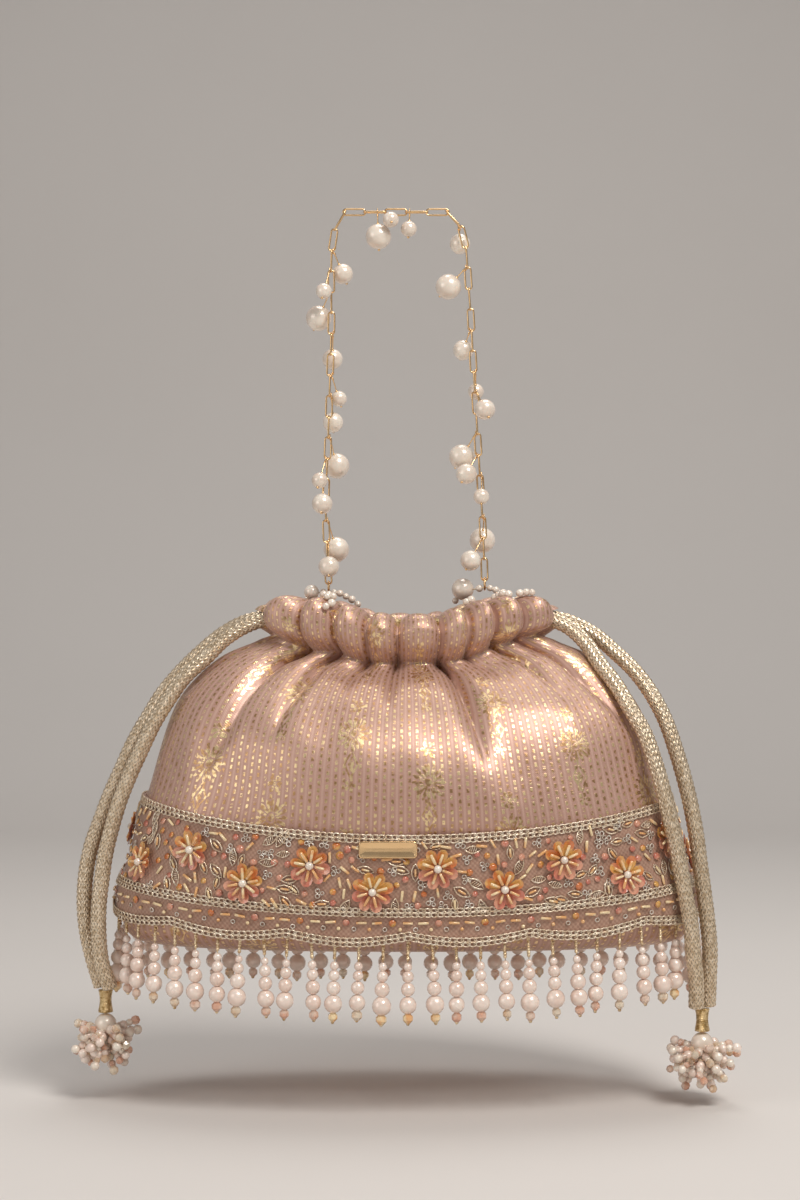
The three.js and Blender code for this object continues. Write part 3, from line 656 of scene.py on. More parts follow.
# Each free strand's route from the casing to its tassel, in the bag's own frame: x, y, z.
cordSettings = dict(diameter=6.0, spacing=0.5, sides=48, columns=12, stitch=2.2, relief=0.36)
cordRoutes = dict(
    leftFront=[
        (-55.5, -3.2, -158.6), (-63, -3.8, -161.4), (-71, -5, -166.5), (-78.5, -7, -174),
        (-86, -9.5, -181), (-92, -11, -189.5), (-97.5, -12, -198.5), (-102, -12.5, -208),
        (-106.5, -13, -218), (-110.5, -13, -228), (-113.5, -13, -238), (-116, -13.5, -248.5),
        (-117.5, -14, -259), (-118.5, -15, -269.5), (-118.5, -15, -280), (-117.5, -14, -290.5),
        (-114.4, -12.3, -300.5),
    ],
    leftBack=[
        (-55.5, 3.2, -158), (-63.5, 3.4, -160), (-72, 3.5, -164.5), (-80.5, 1.5, -171.5),
        (-88, -1, -179), (-95, -3, -187.5), (-100.5, -4.5, -196.5), (-106, -5, -206),
        (-110.5, -5.5, -216), (-115, -5.5, -226), (-119, -5.5, -236.5), (-122.5, -6, -246.5),
        (-124.5, -7, -257.5), (-125, -7.5, -268.5), (-124, -8, -279.5), (-121.5, -8.5, -290),
        (-118.6, -7, -300.5),
    ],
    rightFront=[
        (55.5, -3.2, -158.6), (62.5, -5, -161.8), (69, -8, -168), (74, -13.5, -176),
        (79.5, -19, -183.5), (84.5, -24, -192.5), (89.5, -27, -201.5), (93, -29.5, -211.5),
        (96, -31, -222), (98.5, -31.5, -232.5), (101, -31, -243), (103, -31, -253.5),
        (105, -30, -264), (107, -29, -274.5), (108, -27.5, -285), (109.5, -25, -295.5),
        (109.9, -21.9, -306),
    ],
    rightBack=[
        (55.5, 3.2, -158), (63.5, 2.8, -160), (72.5, 0.5, -164.5), (80.5, -4.5, -171.5),
        (87.5, -9.5, -178.5), (93.5, -14, -187), (98.5, -17.5, -197), (102, -20, -207.5),
        (105, -21.5, -218), (107.5, -22.5, -228.5), (109.5, -23.5, -239.5), (111, -23.5, -251),
        (112.5, -23.5, -262), (114, -23, -273.5), (115, -22, -284), (115, -20, -295),
        (115, -17.2, -306),
    ],
)


def tubeAlong(name, route, radius, sides, material, relief):
    # a closed tube whose radius follows a relief of turn and length; U runs round it and V along it
    vertices, uvs = [], []
    normal = None
    length = 0.0
    for i, point in enumerate(route):
        before, after = route[max(i - 1, 0)], route[min(i + 1, len(route) - 1)]
        along = (after - before).normalized()
        if normal is None:
            normal = along.cross(Vector((0, 1, 0.2))).normalized()
        normal = (normal - along * normal.dot(along)).normalized()
        across = along.cross(normal)
        if i:
            length += (point - route[i - 1]).length
        for k in range(sides):
            share = k / sides
            turn = 2 * math.pi * share
            reach = radius + relief(share, length)
            vertices.append(point + (normal * math.cos(turn) + across * math.sin(turn)) * reach)
            uvs.append((share, length * mm))
    made = meshObject(name, vertices, tubeFaces(len(route), sides), material, uvs)
    wrapSeam(made, 1.0)
    return made


def knitRelief(share, length):
    # the V stitches of the knitted tube
    look = cordSettings
    side = abs(share * look["columns"] % 1.0 - 0.5)
    row = length / look["stitch"] + side * 1.5
    along = abs(row % 1.0 - 0.5)
    ridge = 0.35 + 0.65 * math.cos(math.pi * min(1.0, abs(side - 0.25) / 0.27) / 2)
    return look["relief"] * (math.cos(math.pi * along) * ridge - 0.72)


for cordName, route in cordRoutes.items():
    spots, cordLength = smoothRoute([(x + bagX, y, z) for x, y, z in route], cordSettings["spacing"])
    radius = cordSettings["diameter"] / 2
    cord = tubeAlong(cordName + "Drawcord", spots, radius, cordSettings["sides"], lurex, knitRelief)
    side = "left" if cordName.startswith("left") else "right"
    lay = "front" if cordName.endswith("Front") else "back"
    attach(cord, "bag")
    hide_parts(f"drawcord_{side}_{lay}")
print("drawcords made")


tasselSettings = dict(
    sprigs=46, topSprig=0.42, sprigSpan=1.4, goldenTurn=2.39996, beadsOnSprig=5, beadStep=2.15,
    beadSizes=(1.75, 1.4, 1.65, 1.4), crystalShare=(0.5, 0.34), wrapTurns=12, wrapSides=24, seed=5,
)


def nodeBox(name):
    low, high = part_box(name)
    return Vector(low) / mm, Vector(high) / mm


def makeWrap(side):
    # gold thread wound round the two cord ends, with a little waist
    low, high = nodeBox(f"tassel_{side}_wrap")
    middle = (low + high) / 2
    radius = (high.x - low.x) / 2
    turns = tasselSettings["wrapTurns"]
    rows, sides = turns * 6 + 1, tasselSettings["wrapSides"]
    vertices = []
    for r in range(rows):
        share = r / (rows - 1)
        z = high.z + (low.z - high.z) * share
        waist = 1.0 - 0.2 * math.sin(math.pi * min(1.0, share * 1.1))
        for k in range(sides):
            turn = 2 * math.pi * k / sides
            ridge = 0.16 * abs(math.sin(math.pi * (share * turns + k / sides)))
            reach = (radius - 0.3) * waist + ridge
            vertices.append((middle.x + reach * math.cos(-turn), middle.y + reach * math.sin(-turn), z))
    return meshObject(f"{side}TasselWrap", vertices, tubeFaces(rows, sides), goldThread)


def makeTassel(side, seed):
    rng = random.Random(seed)
    wrap = makeWrap(side)
    low, high = nodeBox(f"tassel_{side}_pearl")
    centre = (low + high) / 2
    radius = (high.z - low.z) / 2
    rows = [(centre, (0, 0, 1), (0, -1, 0), radius)]
    pearl = growBeads(f"{side}TasselPearl", rows, finePearl, ivoryPearl, unevenness=0.0)
    low, high = nodeBox(f"tassel_{side}_cluster")
    heart = centre - Vector((0, 0, radius * 0.75))
    reachAll = (high.x - low.x) / 2
    strings = dict(pearls=[], crystals=[], threads=[], edges=[])
    settings = tasselSettings
    for i in range(settings["sprigs"]):
        height = settings["topSprig"] - settings["sprigSpan"] * (i + 0.5) / settings["sprigs"]
        turn = i * settings["goldenTurn"] + 0.3 * rng.random()
        flat = math.sqrt(max(0.0, 1 - height * height))
        out = Vector((flat * math.cos(turn), flat * math.sin(turn), height)).normalized()
        sag = Vector((rng.uniform(-2.6, 2.6), rng.uniform(-2.6, 2.6), -1.6 * flat + rng.uniform(-1.2, 1.2)))
        start = heart + out * 1.5
        reach = (0.84 + 0.16 * rng.random()) / math.hypot(flat / reachAll, height / (heart.z - low.z - 1.2))
        strings["threads"] += [start, heart + out * (reach - 0.8) + sag]
        strings["edges"].append((2 * i, 2 * i + 1))
        at = reach - 1.3
        for b in range(settings["beadsOnSprig"]):
            size = settings["beadSizes"][b % 4] * (0.88 + 0.24 * rng.random())
            spot = heart + out * at + sag * (at / reach) ** 2
            kind = "crystals" if rng.random() < settings["crystalShare"][min(b, 1)] else "pearls"
            strings[kind].append((spot, out, Vector((0, 1, 0.3)), size))
            at -= settings["beadStep"]
    parts = []
    for kind, bead, finishes in (("pearls", smallPearl, (ivoryPearl, rosePearl)),
                                 ("crystals", cutCrystal, (peachCrystal, champagneCrystal))):
        for half, finish in enumerate(finishes):
            parts.append(growBeads(kind, strings[kind][half::2], bead, finish, seed + half, 0.06))
    mesh = carrierMesh("sprigThreads", strings["threads"], edges=strings["edges"])
    parts.append(grow("sprigThreads", mesh, threadTree, Thickness=0.25 * mm, Sides=4, Finish=goldThread))
    cluster = joinPieces(f"{side}TasselCluster", parts)
    for piece, node, slot in ((wrap, "wrap", "lurex_cord"), (pearl, "pearl", "pearl"),
                              (cluster, "cluster", "fringe_beads")):
        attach(piece, "bag")
        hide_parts(f"tassel_{side}_{node}")
    return [wrap, pearl, cluster]


tassels = {side: makeTassel(side, tasselSettings["seed"] + i) for i, side in enumerate(("left", "right"))}
print("tassels made")


# Levels of the brocade, from under the base to the casing's inner edge: half width, half depth, height, and
# how much higher the two ends stand than the front.
pouchSettings = dict(
    levels=[
        (2, 0.7, -283.6, 0), (40, 13, -283.6, 0), (80, 26.5, -283.5, 0), (99, 33.5, -283.3, 0),
        (105.5, 39.5, -282.4, 0), (109.4, 44.6, -279, 0), (110.8, 47.4, -274.5, 0), (111, 48.8, -269, 0),
        (108.5, 51, -261, 0), (104, 52.3, -242, 0), (99.8, 51.8, -225, 0), (94.6, 47.4, -208, 1),
        (87.6, 39, -195, 3), (78.6, 29.2, -186, 5), (68, 20.6, -179.8, 7), (54, 15.6, -176, 9),
        (54.8, 18.4, -172.4, 9), (57.4, 21.8, -166.5, 6.5), (58, 22.4, -161, 4.5), (55.8, 20.2, -156.4, 3),
        (51.8, 16.4, -154.4, 2), (47, 11.8, -155, 2), (43.6, 8.9, -158.4, 3), (43, 8.6, -168, 7),
        (45.5, 10, -176, 9),
    ],
    squareness=2.3, around=440, rowSpacing=1.25, seamZ=-176.0, clothLength=535.0,
    exitZ=-158.4, exitReach=(7.0, 3.8),
    foldDepth=11.5, puffDepth=7.6, puffRise=4.6, endRise=5.5, channelDeep=7.4, channelHigh=5.4,
    liningIn=2.3, liningFloor=-278.6, liningAround=220, liningSpacing=3.0,
)
# Creases drawn in by the cords, by their distance along the cloth from the front's middle at the seam, that
# distance at their lower end, how far down they reach, and how deep they are.
frontCreases = [
    (-119, -125, 22, 0.8), (-84, -90, 48, 1.3), (-57, -61, 34, 1.15), (-32, -34, 16, 0.95), (-8, -9, 24, 1.1),
    (25, 35, 44, 1.35), (47, 52, 12, 0.75), (67, 78, 20, 1.05), (90, 106, 34, 1.0), (121, 129, 22, 0.8),
]


def power(value):
    return np.sign(value) * np.abs(value) ** (2 / pouchSettings["squareness"])


def levelPoints(level, turns):
    halfWidth, halfDepth, z, lift = level
    across = power(np.cos(turns))
    deep = halfDepth * power(np.sin(turns))
    return np.stack([bagX + halfWidth * across, deep, z + lift * across ** 2], axis=-1)


widest = (111.5, 48.5, -272, 0)


def turnsAt(shares):
    # the turns at which each share of the widest outline's length is reached
    turns = np.linspace(0, 2 * math.pi, 6001)
    steps = np.linalg.norm(np.diff(levelPoints(widest, turns), axis=0), axis=1)
    lengths = np.concatenate([[0], np.cumsum(steps)])
    return np.interp(np.asarray(shares) % 1.0, lengths / lengths[-1], turns)


def smooth(value, low, high):
    share = np.clip((value - low) / (high - low), 0, 1)
    return share * share * (3 - 2 * share)


def allCreases():
    # the back's creases are the front's, turned round and made a little different
    rng = random.Random(8)
    half = pouchSettings["clothLength"] / 2
    back = [
        (half + q + rng.uniform(-4, 4), half + end + rng.uniform(-5, 5), reach * rng.uniform(0.8, 1.25),
         depth * rng.uniform(0.8, 1.1))
        for q, end, reach, depth in frontCreases
    ]
    return sorted(frontCreases + back)


def lobeRim(gap, side):
    # 0 on the crown of the rounded cloth beside a crease, 1 in the crease
    near = np.clip(np.abs(gap) / side, 0, 1)
    return 1 - np.sqrt(np.clip(1 - (1 - near) ** 2, 0, 1))


def foldOffsets(cloth, level, creases, turnedIn):
    # how far a row of the cloth moves out and up: sharp creases with rounded cloth between them
    settings = pouchSettings
    total = settings["clothLength"]
    seam = settings["seamZ"]
    down = max(0.0, seam + level[3] * 0.6 - level[2]) * 1.12
    above = turnedIn or level[2] - seam > 0.5
    out = np.zeros_like(cloth)
    rise = np.zeros_like(cloth)
    rng = random.Random(17)
    body = 1.0 if turnedIn else float(smooth(level[2], seam, seam + 7))
    top = float(smooth(level[2], -167, -156))
    belt = math.exp(-(((level[2] - seam - 1) / 7.0) ** 2))
    for i, (q, end, reach, depth) in enumerate(creases):
        before = (q - creases[i - 1][0]) % total
        after = (creases[(i + 1) % len(creases)][0] - q) % total
        waviness, sag = rng.uniform(-1, 1), rng.uniform(-1, 1)
        share = min(1.0, down / reach)
        place = q + (end - q) * share ** 0.8 + 1.2 * waviness * math.sin(3 * share)
        gap = (cloth - place + total / 2) % total - total / 2
        side = np.where(gap < 0, before, after) * 0.5
        wide = np.minimum(1.4, side / 8)
        if above:
            rim = lobeRim(gap, side)
            out -= np.minimum(settings["puffDepth"] * depth * wide, settings["channelDeep"]) * rim
            rise -= np.minimum(settings["puffRise"] * depth * wide, settings["channelHigh"]) * rim * top
        else:
            rim = lobeRim(gap, side * (1.0 - 0.35 * share))
            out -= settings["foldDepth"] * depth * rim * (1 - share) ** 1.35 * wide
        rise += 2.2 * sag * belt * np.clip(1 - np.abs(gap) / (side * 2), 0, 1)
    if above:
        out += settings["puffDepth"] * 0.34 * body
    else:
        out += settings["foldDepth"] * 0.3 * math.exp(-((down / 30.0) ** 2))
    fromMiddle = np.minimum(np.abs(cloth), total / 2 - np.abs(cloth))
    endShare = smooth(fromMiddle, 12, 75) * (1 - 0.75 * smooth(fromMiddle, 98, 133))
    rise += (settings["endRise"] * endShare - 2.0) * top
    return out, rise


def softSwell(cloth, z, seed):
    # the slow unevenness of filled cloth
    rng = np.random.default_rng(seed)
    total = pouchSettings["clothLength"]
    out = np.zeros_like(cloth)
    for waves in (3, 5, 8, 13, 21):
        phase, tilt = rng.uniform(0, 2 * math.pi, 2)
        out += np.sin(2 * math.pi * waves * cloth / total + phase + tilt * z / 30) * 1.5 / waves ** 0.6
    return out


def evenRows(levels, spacing):
    # the levels joined by a smooth curve and cut to even steps along the front
    rows, lengths = [], [0.0]
    path = [levels[0]] + list(levels) + [levels[-1]]
    for ends in zip(path, path[1:], path[2:], path[3:]):
        for t in (k / 12 for k in range(12)):
            rows.append([
                0.5 * (2 * q + (r - p) * t + (2 * p - 5 * q + 4 * r - s) * t * t
                       + (3 * q - p - 3 * r + s) * t ** 3)
                for p, q, r, s in zip(*ends)
            ])
    rows.append(list(levels[-1]))
    for p, q in zip(rows, rows[1:]):
        lengths.append(lengths[-1] + math.hypot(q[1] - p[1], q[2] - p[2]))
    count = round(lengths[-1] / spacing)
    wanted = [lengths[-1] * i / count for i in range(count + 1)]
    columns = [np.interp(wanted, lengths, [row[i] for row in rows]) for i in range(4)]
    return list(zip(*columns)), wanted


def clothMesh(name, rows, lengths, around, material, shift=0.0):
    # the rows of cloth as one mesh, closed under the base, moved out by the shift
    total = pouchSettings["clothLength"]
    shares = np.arange(around) / around
    turns = turnsAt(shares)
    cloth = (shares - 0.75) * total  # distance along the cloth from the front's middle
    cloth = (cloth + total / 2) % total - total / 2
    creases = allCreases()
    vertices, uvs = [], []
    highest = max(range(len(rows)), key=lambda i: rows[i][2])
    for i, (level, length) in enumerate(zip(rows, lengths)):
        out, rise = foldOffsets(cloth, level, creases, i > highest)
        base = levelPoints(level, turns)
        grown = levelPoints((level[0] + 1, level[1] + 1, level[2], level[3]), turns) - base
        grown /= np.linalg.norm(grown, axis=1)[:, None] + 1e-9
        filled = smooth(level[2], -262, -240) * (1 - smooth(level[2], -200, -178))
        puffed = softSwell(cloth, level[2], 4) * float(filled)
        points = base + grown * (out + shift + puffed)[:, None]
        points[:, 2] += rise
        vertices += [tuple(p) for p in points]
        uvs += [(share * total * mm, length * mm) for share in shares]
    faces = gridFaces(len(rows), around) + [tuple(range(around - 1, -1, -1))]
    made = meshObject(name, vertices, faces, material, uvs)
    wrapSeam(made, total * mm)
    return made


def openCordExits(pouch):
    # the gaps in the side seams where the two strands of each cord come out of the casing
    reach, exitZ = pouchSettings["exitReach"], pouchSettings["exitZ"]
    mesh = bmesh.new()
    mesh.from_mesh(pouch.data)
    gone = []
    for face in mesh.faces:
        middle = face.calc_center_median() / mm
        across = (middle.y / reach[0]) ** 2 + ((middle.z - exitZ) / reach[1]) ** 2
        if abs(middle.x - bagX) > 49 and across < 1:
            gone.append(face)
    bmesh.ops.delete(mesh, geom=gone, context="FACES")
    mesh.to_mesh(pouch.data)
    mesh.free()


def makePouch():
    settings = pouchSettings
    rows, lengths = evenRows(settings["levels"], settings["rowSpacing"] * (1))
    around = settings["around"] // 1
    pouch = clothMesh("brocadePouch", rows, lengths, around, brocade)
    openCordExits(pouch)
    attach(pouch, "bag")
    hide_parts("outer_bag")
    return pouch, lengths[-1]


def makeLining():
    # the lining stands on the base board and follows the wall up to the seam
    settings = pouchSettings
    floor = settings["liningFloor"]
    levels = [(2, 0.7, floor, 0), (60, 20, floor, 0), (100, 36, floor + 0.6, 0)] + settings["levels"][7:14]
    rows, lengths = evenRows(levels, settings["liningSpacing"])
    lining = clothMesh("satinLining", rows, lengths, settings["liningAround"], satin, -settings["liningIn"])
    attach(lining, "bag")
    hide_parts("lining")
    return lining, lengths[-1]


pouch, pouchLength = makePouch()
lining, liningLength = makeLining()
print("pouch and lining made")


bandSettings = dict(
    offset=1.3, thick=0.9, frontTop=-237.7, endTop=-226.5, frontLow=-276.8, endLow=-270.6, scallops=12,
    scallopDepth=2.6, around=420, rows=18, tall=39.0, middleShare=0.27, stitchPitch=2.4,
)
wallLevels = [(111.5, 48.5, -272, 0), (108.5, 51, -262, 0), (104, 52.5, -242, 0), (99.8, 52, -225, 0)]


def shareOf(cloth):
    return (cloth / pouchSettings["clothLength"] + 0.75) % 1.0


turnTable = turnsAt(np.arange(2401) / 2401)


def turnAt(cloth):
    return float(np.interp(shareOf(cloth), np.arange(2401) / 2401, turnTable))


def wallPoint(turn, z, out):
    # a point at a height on the wall, moved out from it; past the widest level it hangs straight down
    heights = [level[2] for level in wallLevels]
    wide = float(np.interp(z, heights, [level[0] for level in wallLevels]))
    deep = float(np.interp(z, heights, [level[1] for level in wallLevels]))
    hang = 1 - float(smooth(z, -267, -250))
    wide += hang * max(0.0, wallLevels[0][0] - wide)
    return Vector(levelPoints((wide + out, deep + out, z, 0), np.array([turn]))[0])


def bandEdges(turn):
    across = float(power(math.cos(turn))) ** 2
    settings = bandSettings
    top = settings["frontTop"] + (settings["endTop"] - settings["frontTop"]) * across
    low = settings["frontLow"] + (settings["endLow"] - settings["frontLow"]) * across
    return low, top


def bandPoint(cloth, share, out=0.0, scalloped=0.0):
    # a point of the band by its distance along the cloth and its share of the band's height
    turn = turnAt(cloth)
    low, top = bandEdges(turn)
    low -= scalloped * bandSettings["scallopDepth"]
    settings = bandSettings
    return wallPoint(turn, low + (top - low) * share, settings["offset"] + settings["thick"] + out)


def bandFrame(cloth, share, out=0.0):
    # a point of the band with its outward direction, its direction round the bag and its upward one
    point = bandPoint(cloth, share, out)
    around = (bandPoint(cloth + 1, share, out) - bandPoint(cloth - 1, share, out)).normalized()
    upward = (bandPoint(cloth, min(1, share + 0.03), out) - bandPoint(cloth, share - 0.03, out)).normalized()
    outward = around.cross(upward).normalized()
    return point, outward, around, upward


def scallopAt(cloth):
    return abs(math.sin(math.pi * shareOf(cloth) * bandSettings["scallops"]))


def bandRow(share, out, edge):
    # a point for each millimetre round the band, on its scallops when it's at the edge
    total = pouchSettings["clothLength"]
    count = round(total)
    places = [total * i / count for i in range(count)]
    return places, [bandPoint(c, share, out, scallopAt(c) if edge else 0) for c in places]


def makeBandCloth():
    settings = bandSettings
    around, rows = settings["around"], settings["rows"]
    total = pouchSettings["clothLength"]
    rng = np.random.default_rng(12)
    waves = rng.uniform(0, 6.28, 4)
    vertices, uvs = [], []
    for r in range(rows + 1):
        share = r / rows
        for i in range(around):
            cloth = total * i / around
            ripple = 0.22 * sum(math.sin(2 * math.pi * k * i / around + waves[j] + 4 * share)
                                for j, k in enumerate((14, 23, 31, 44)))
            vertices.append(bandPoint(cloth, share, ripple * 0.4, (1 - share) * scallopAt(cloth)))
            uvs.append((cloth * mm, share * settings["tall"] * mm))
    made = meshObject("bandCloth", vertices, gridFaces(rows + 1, around), net, uvs)
    solidify = made.modifiers.new("thickness", "SOLIDIFY")
    solidify.thickness = settings["thick"] * mm
    solidify.offset = -1
    applyModifiers(made)
    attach(made, "bag")
    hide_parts("embroidered_band")
    return made


# One chain stitch: a pointed loop of thread that the next one starts in.
chainStitch = wireLoop("chainStitch", [
    (0, -0.05, -1.9), (0.46, 0.12, -1.2), (0.78, 0.36, -0.1), (0.66, 0.4, 0.85), (0.2, 0.24, 1.5),
    (-0.2, 0.3, 1.5), (-0.66, 0.4, 0.85), (-0.78, 0.36, -0.1), (-0.46, 0.12, -1.2),
], 0.3, 5)


def makeStitchRows():
    parts = []
    middle = bandSettings["middleShare"]
    for i, share in enumerate((0.985, 0.945, middle + 0.022, middle - 0.022, 0.022, 0.062)):
        places, points = bandRow(share, 0.25, share < 0.1)
        facing = [bandFrame(c, share)[1] for c in places]
        path = pathMesh("stitchPath", points, facing)
        parts.append(grow(f"stitchRow{i}", path, stitchTree, Stitch=chainStitch,
                          Pitch=bandSettings["stitchPitch"] * mm, Finish=silverZari))
    rowsPiece = joinPieces("bandStitchRows", parts)
    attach(rowsPiece, "bag")
    return rowsPiece


flowerSettings = dict(first=-13.0, spacing=24.3, count=22, heights=(0.47, 0.69), petals=8, reach=4.4)
petalRim = [(0, -3.4), (0.95, -2.3), (1.7, -0.7), (2.1, 0.9), (1.85, 2.3), (1.0, 3.2)]
petalRim += [(0, 3.45)] + [(-x, z) for x, z in reversed(petalRim[1:])]
petal = template(
    "petal",
    [(x, 0.25 + 0.055 * (x * x + 0.4 * z * z), z) for x, z in petalRim]
    + [(x * 0.45, -0.12 + 0.05 * (0.4 * x * x + 0.2 * z * z), z * 0.5) for x, z in petalRim],
    [(i, 12 + i, 12 + (i + 1) % 12, (i + 1) % 12) for i in range(12)] + [tuple(range(23, 11, -1))],
)


def flowerPlaces():
    # flowers stand by turns low and high along the band
    settings = flowerSettings
    return [(settings["first"] + settings["spacing"] * (k - 8), settings["heights"][k % 2])
            for k in range(settings["count"])]


def makeFlowers():
    rng = random.Random(31)
    petals, petalsDeep, bugles, hearts = [], [], [], []
    for cloth, share in flowerPlaces():
        point, outward, around, upward = bandFrame(cloth, share, 0.2)
        start = rng.random()
        for p in range(flowerSettings["petals"]):
            turn = 2 * math.pi * (p + start) / flowerSettings["petals"]
            out = around * math.cos(turn) + upward * math.sin(turn)
            spot = point + out * flowerSettings["reach"] + outward * (0.5 + 0.35 * rng.random())
            # the lower petals mostly take the darker rose sequin finish: painted shade on the side turned
            # down
            target = petalsDeep if math.sin(turn) < -0.25 + 0.4 * rng.random() else petals
            target.append((spot, out + outward * 0.12, outward, rng.uniform(0.88, 1.08)))
            spot = point + out * 3.8 + outward * 1.8
            bugles.append((spot, out + outward * 0.1, outward, rng.uniform(0.95, 1.15)))
        hearts.append((point + outward * 1.9, outward, upward, 1.5))
    parts = [
        growBeads("petals", petals, petal, amberSequin),
        growBeads("petalsDeep", petalsDeep, petal, roseSequin),
        growBeads("flowerBugles", bugles, bugle, bugleGold),
        growBeads("flowerHearts", hearts, smallPearl, ivoryPearl),
    ]
    flowers = joinPieces("bandFlowers", parts)
    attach(flowers, "bag")
    return flowers


# A leaf is drawn by one loop of thread; a coil of wire makes a small ring.
leafLoop = wireLoop("leafLoop", [
    (0, 0, -3.1), (0.8, 0.12, -1.9), (1.35, 0.2, -0.4), (1.2, 0.2, 1.1), (0.55, 0.15, 2.3), (0, 0.05, 3.1),
    (-0.55, 0.15, 2.3), (-1.2, 0.2, 1.1), (-1.35, 0.2, -0.4), (-0.8, 0.12, -1.9),
], 0.3, 4)
coilRing = wireLoop("coilRing", [
    (1.05 * math.cos(t * math.pi / 6), 0.15, 1.05 * math.sin(t * math.pi / 6)) for t in range(12)
], 0.34, 5)
hatch = turned("hatch", [(0.15, -1.2), (0.24, -1.0), (0.24, 1.0), (0.15, 1.2)], 5)


fillingSettings = dict(
    columns=122, rows=(0.34, 0.45, 0.56, 0.67, 0.78, 0.88), flowerRoom=7.8,
    edgeStep=5.6, edgeRows=(0.165, 0.105), seed=77,
)


def makeFilling():
    # what fills the ground between the flowers: outlined leaves, bugles, sequins, coiled rings
    settings = fillingSettings
    rng = random.Random(settings["seed"])
    total = pouchSettings["clothLength"]
    flowers = flowerPlaces()
    kinds = dict(leaves=[], bugles=[], amber=[], rose=[], coils=[], hatches=[], seeds=[])

    def nearest(cloth, share):
        gaps = [((cloth - c + total / 2) % total - total / 2, share - s) for c, s in flowers]
        return min(math.hypot(across, up * bandSettings["tall"]) for across, up in gaps)

    for i in range(settings["columns"]):
        for j, base in enumerate(settings["rows"]):
            cloth = total * (i + 0.5 * (j % 2) + rng.uniform(-0.22, 0.22)) / settings["columns"]
            share = base + rng.uniform(-0.03, 0.03)
            if nearest(cloth, share) < settings["flowerRoom"]:
                continue
            point, outward, around, upward = bandFrame(cloth, share, 0.35)
            swirl = 1.3 * math.sin(cloth / 11.5) + 2.2 * share + rng.uniform(-0.5, 0.5)
            along = around * math.cos(swirl) + upward * math.sin(swirl)
            pick = rng.random()
            if pick < 0.27:
                kinds["leaves"].append((point, along, outward, rng.uniform(0.85, 1.15)))
                if rng.random() < 0.6:
                    kinds["bugles"].append((point + outward * 0.5, along, outward, rng.uniform(0.7, 0.9)))
                else:
                    slant = outward.cross(along) + along * 0.4
                    for step in (-1.2, -0.4, 0.4, 1.2):
                        kinds["hatches"].append((point + along * step + outward * 0.2, slant, outward, 0.8))
            elif pick < 0.52:
                kinds["bugles"].append((point + outward * 0.4, along, outward, rng.uniform(0.9, 1.15)))
            elif pick < 0.82:
                row = (point + outward * 0.2, outward + along * 0.3, along, rng.uniform(0.8, 1.15))
                kinds["amber" if pick < 0.66 else "rose"].append(row)
            else:
                for k in range(3):
                    turn = swirl + k * 2.1
                    spot = point + (around * math.cos(turn) + upward * math.sin(turn)) * 1.15
                    kinds["coils"].append((spot, along, outward, rng.uniform(0.62, 0.8)))
    count = round(total / settings["edgeStep"])
    for i in range(count):
        cloth = total * i / count
        point, outward, around, upward = bandFrame(cloth, settings["edgeRows"][0], 0.6)
        if i % 3 < 2:
            kinds["bugles"].append((point, around + upward * rng.uniform(-0.15, 0.15), outward, 1.0))
        else:
            kinds["amber" if i % 2 else "rose"].append((point, outward, around, 1.0))
        cloth += settings["edgeStep"] / 2
        point, outward, around, upward = bandFrame(cloth, settings["edgeRows"][1], 0.5)
        if i % 2:
            kinds["seeds"].append((point, around, outward, 0.75))
        else:
            kinds["coils"].append((point - outward * 0.2, around, outward, 0.72))
    looks = dict(leaves=(leafLoop, silverZari), bugles=(bugle, bugleGold), amber=(sequin, amberSequin),
                 rose=(sequin, roseSequin), coils=(coilRing, dabka), hatches=(hatch, silverZari),
                 seeds=(tinyBead, bugleGold))
    filling = joinPieces("bandBeadwork", [growBeads(kind, kinds[kind], *looks[kind]) for kind in looks])
    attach(filling, "bag")
    return filling


bandCloth = makeBandCloth()
stitchRows = makeStitchRows()
bandFlowers = makeFlowers()
bandFilling = makeFilling()
print("band made")


weldReach = 1e-7  # metres; points nearer than this become one


def makePlate():
    # a thin pressed plate with rounded corners and a raised rim; it carries no mark
    low, high = nodeBox("name_plate")
    middle = (low + high) / 2
    halfWide, halfTall = (high.x - low.x) / 2, (high.z - low.z) / 2
    corner, steps = 1.3, 6
    profile = ((0.35, high.y), (0, high.y - 0.25), (0, low.y + 0.2), (0.22, low.y), (0.6, low.y),
               (0.8, low.y + 0.22), (2.6, low.y + 0.2))
    rings = []
    for inset, depth in profile:
        ring = []
        for sideX, sideZ, start in ((1, 1, 0), (-1, 1, 0.5), (-1, -1, 1), (1, -1, 1.5)):
            for k in range(steps + 1):
                turn = math.pi * (start + 0.5 * k / steps)
                reach = max(0.15, corner - inset * 0.6)
                ring.append((
                    middle.x + sideX * (halfWide - inset - reach) + reach * math.cos(turn), depth,
                    middle.z + sideZ * (halfTall - inset - reach) + reach * math.sin(turn),
                ))
        rings.append(ring)
    vertices = [p for ring in rings for p in ring]
    made = meshObject("plainPlate", vertices, tubeFaces(len(rings), len(rings[0])), gold)
    fixNormals(made, weldReach)
    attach(made, "bag")
    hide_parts("name_plate")
    return made


makePlate()
print("plate made")


fringeSettings = dict(
    strands=60, stem=9.6, seedStep=1.02, pearls=(1.55, 2.2, 2.75, 3.35), crystal=2.1, tapeAround=240, seed=9
)


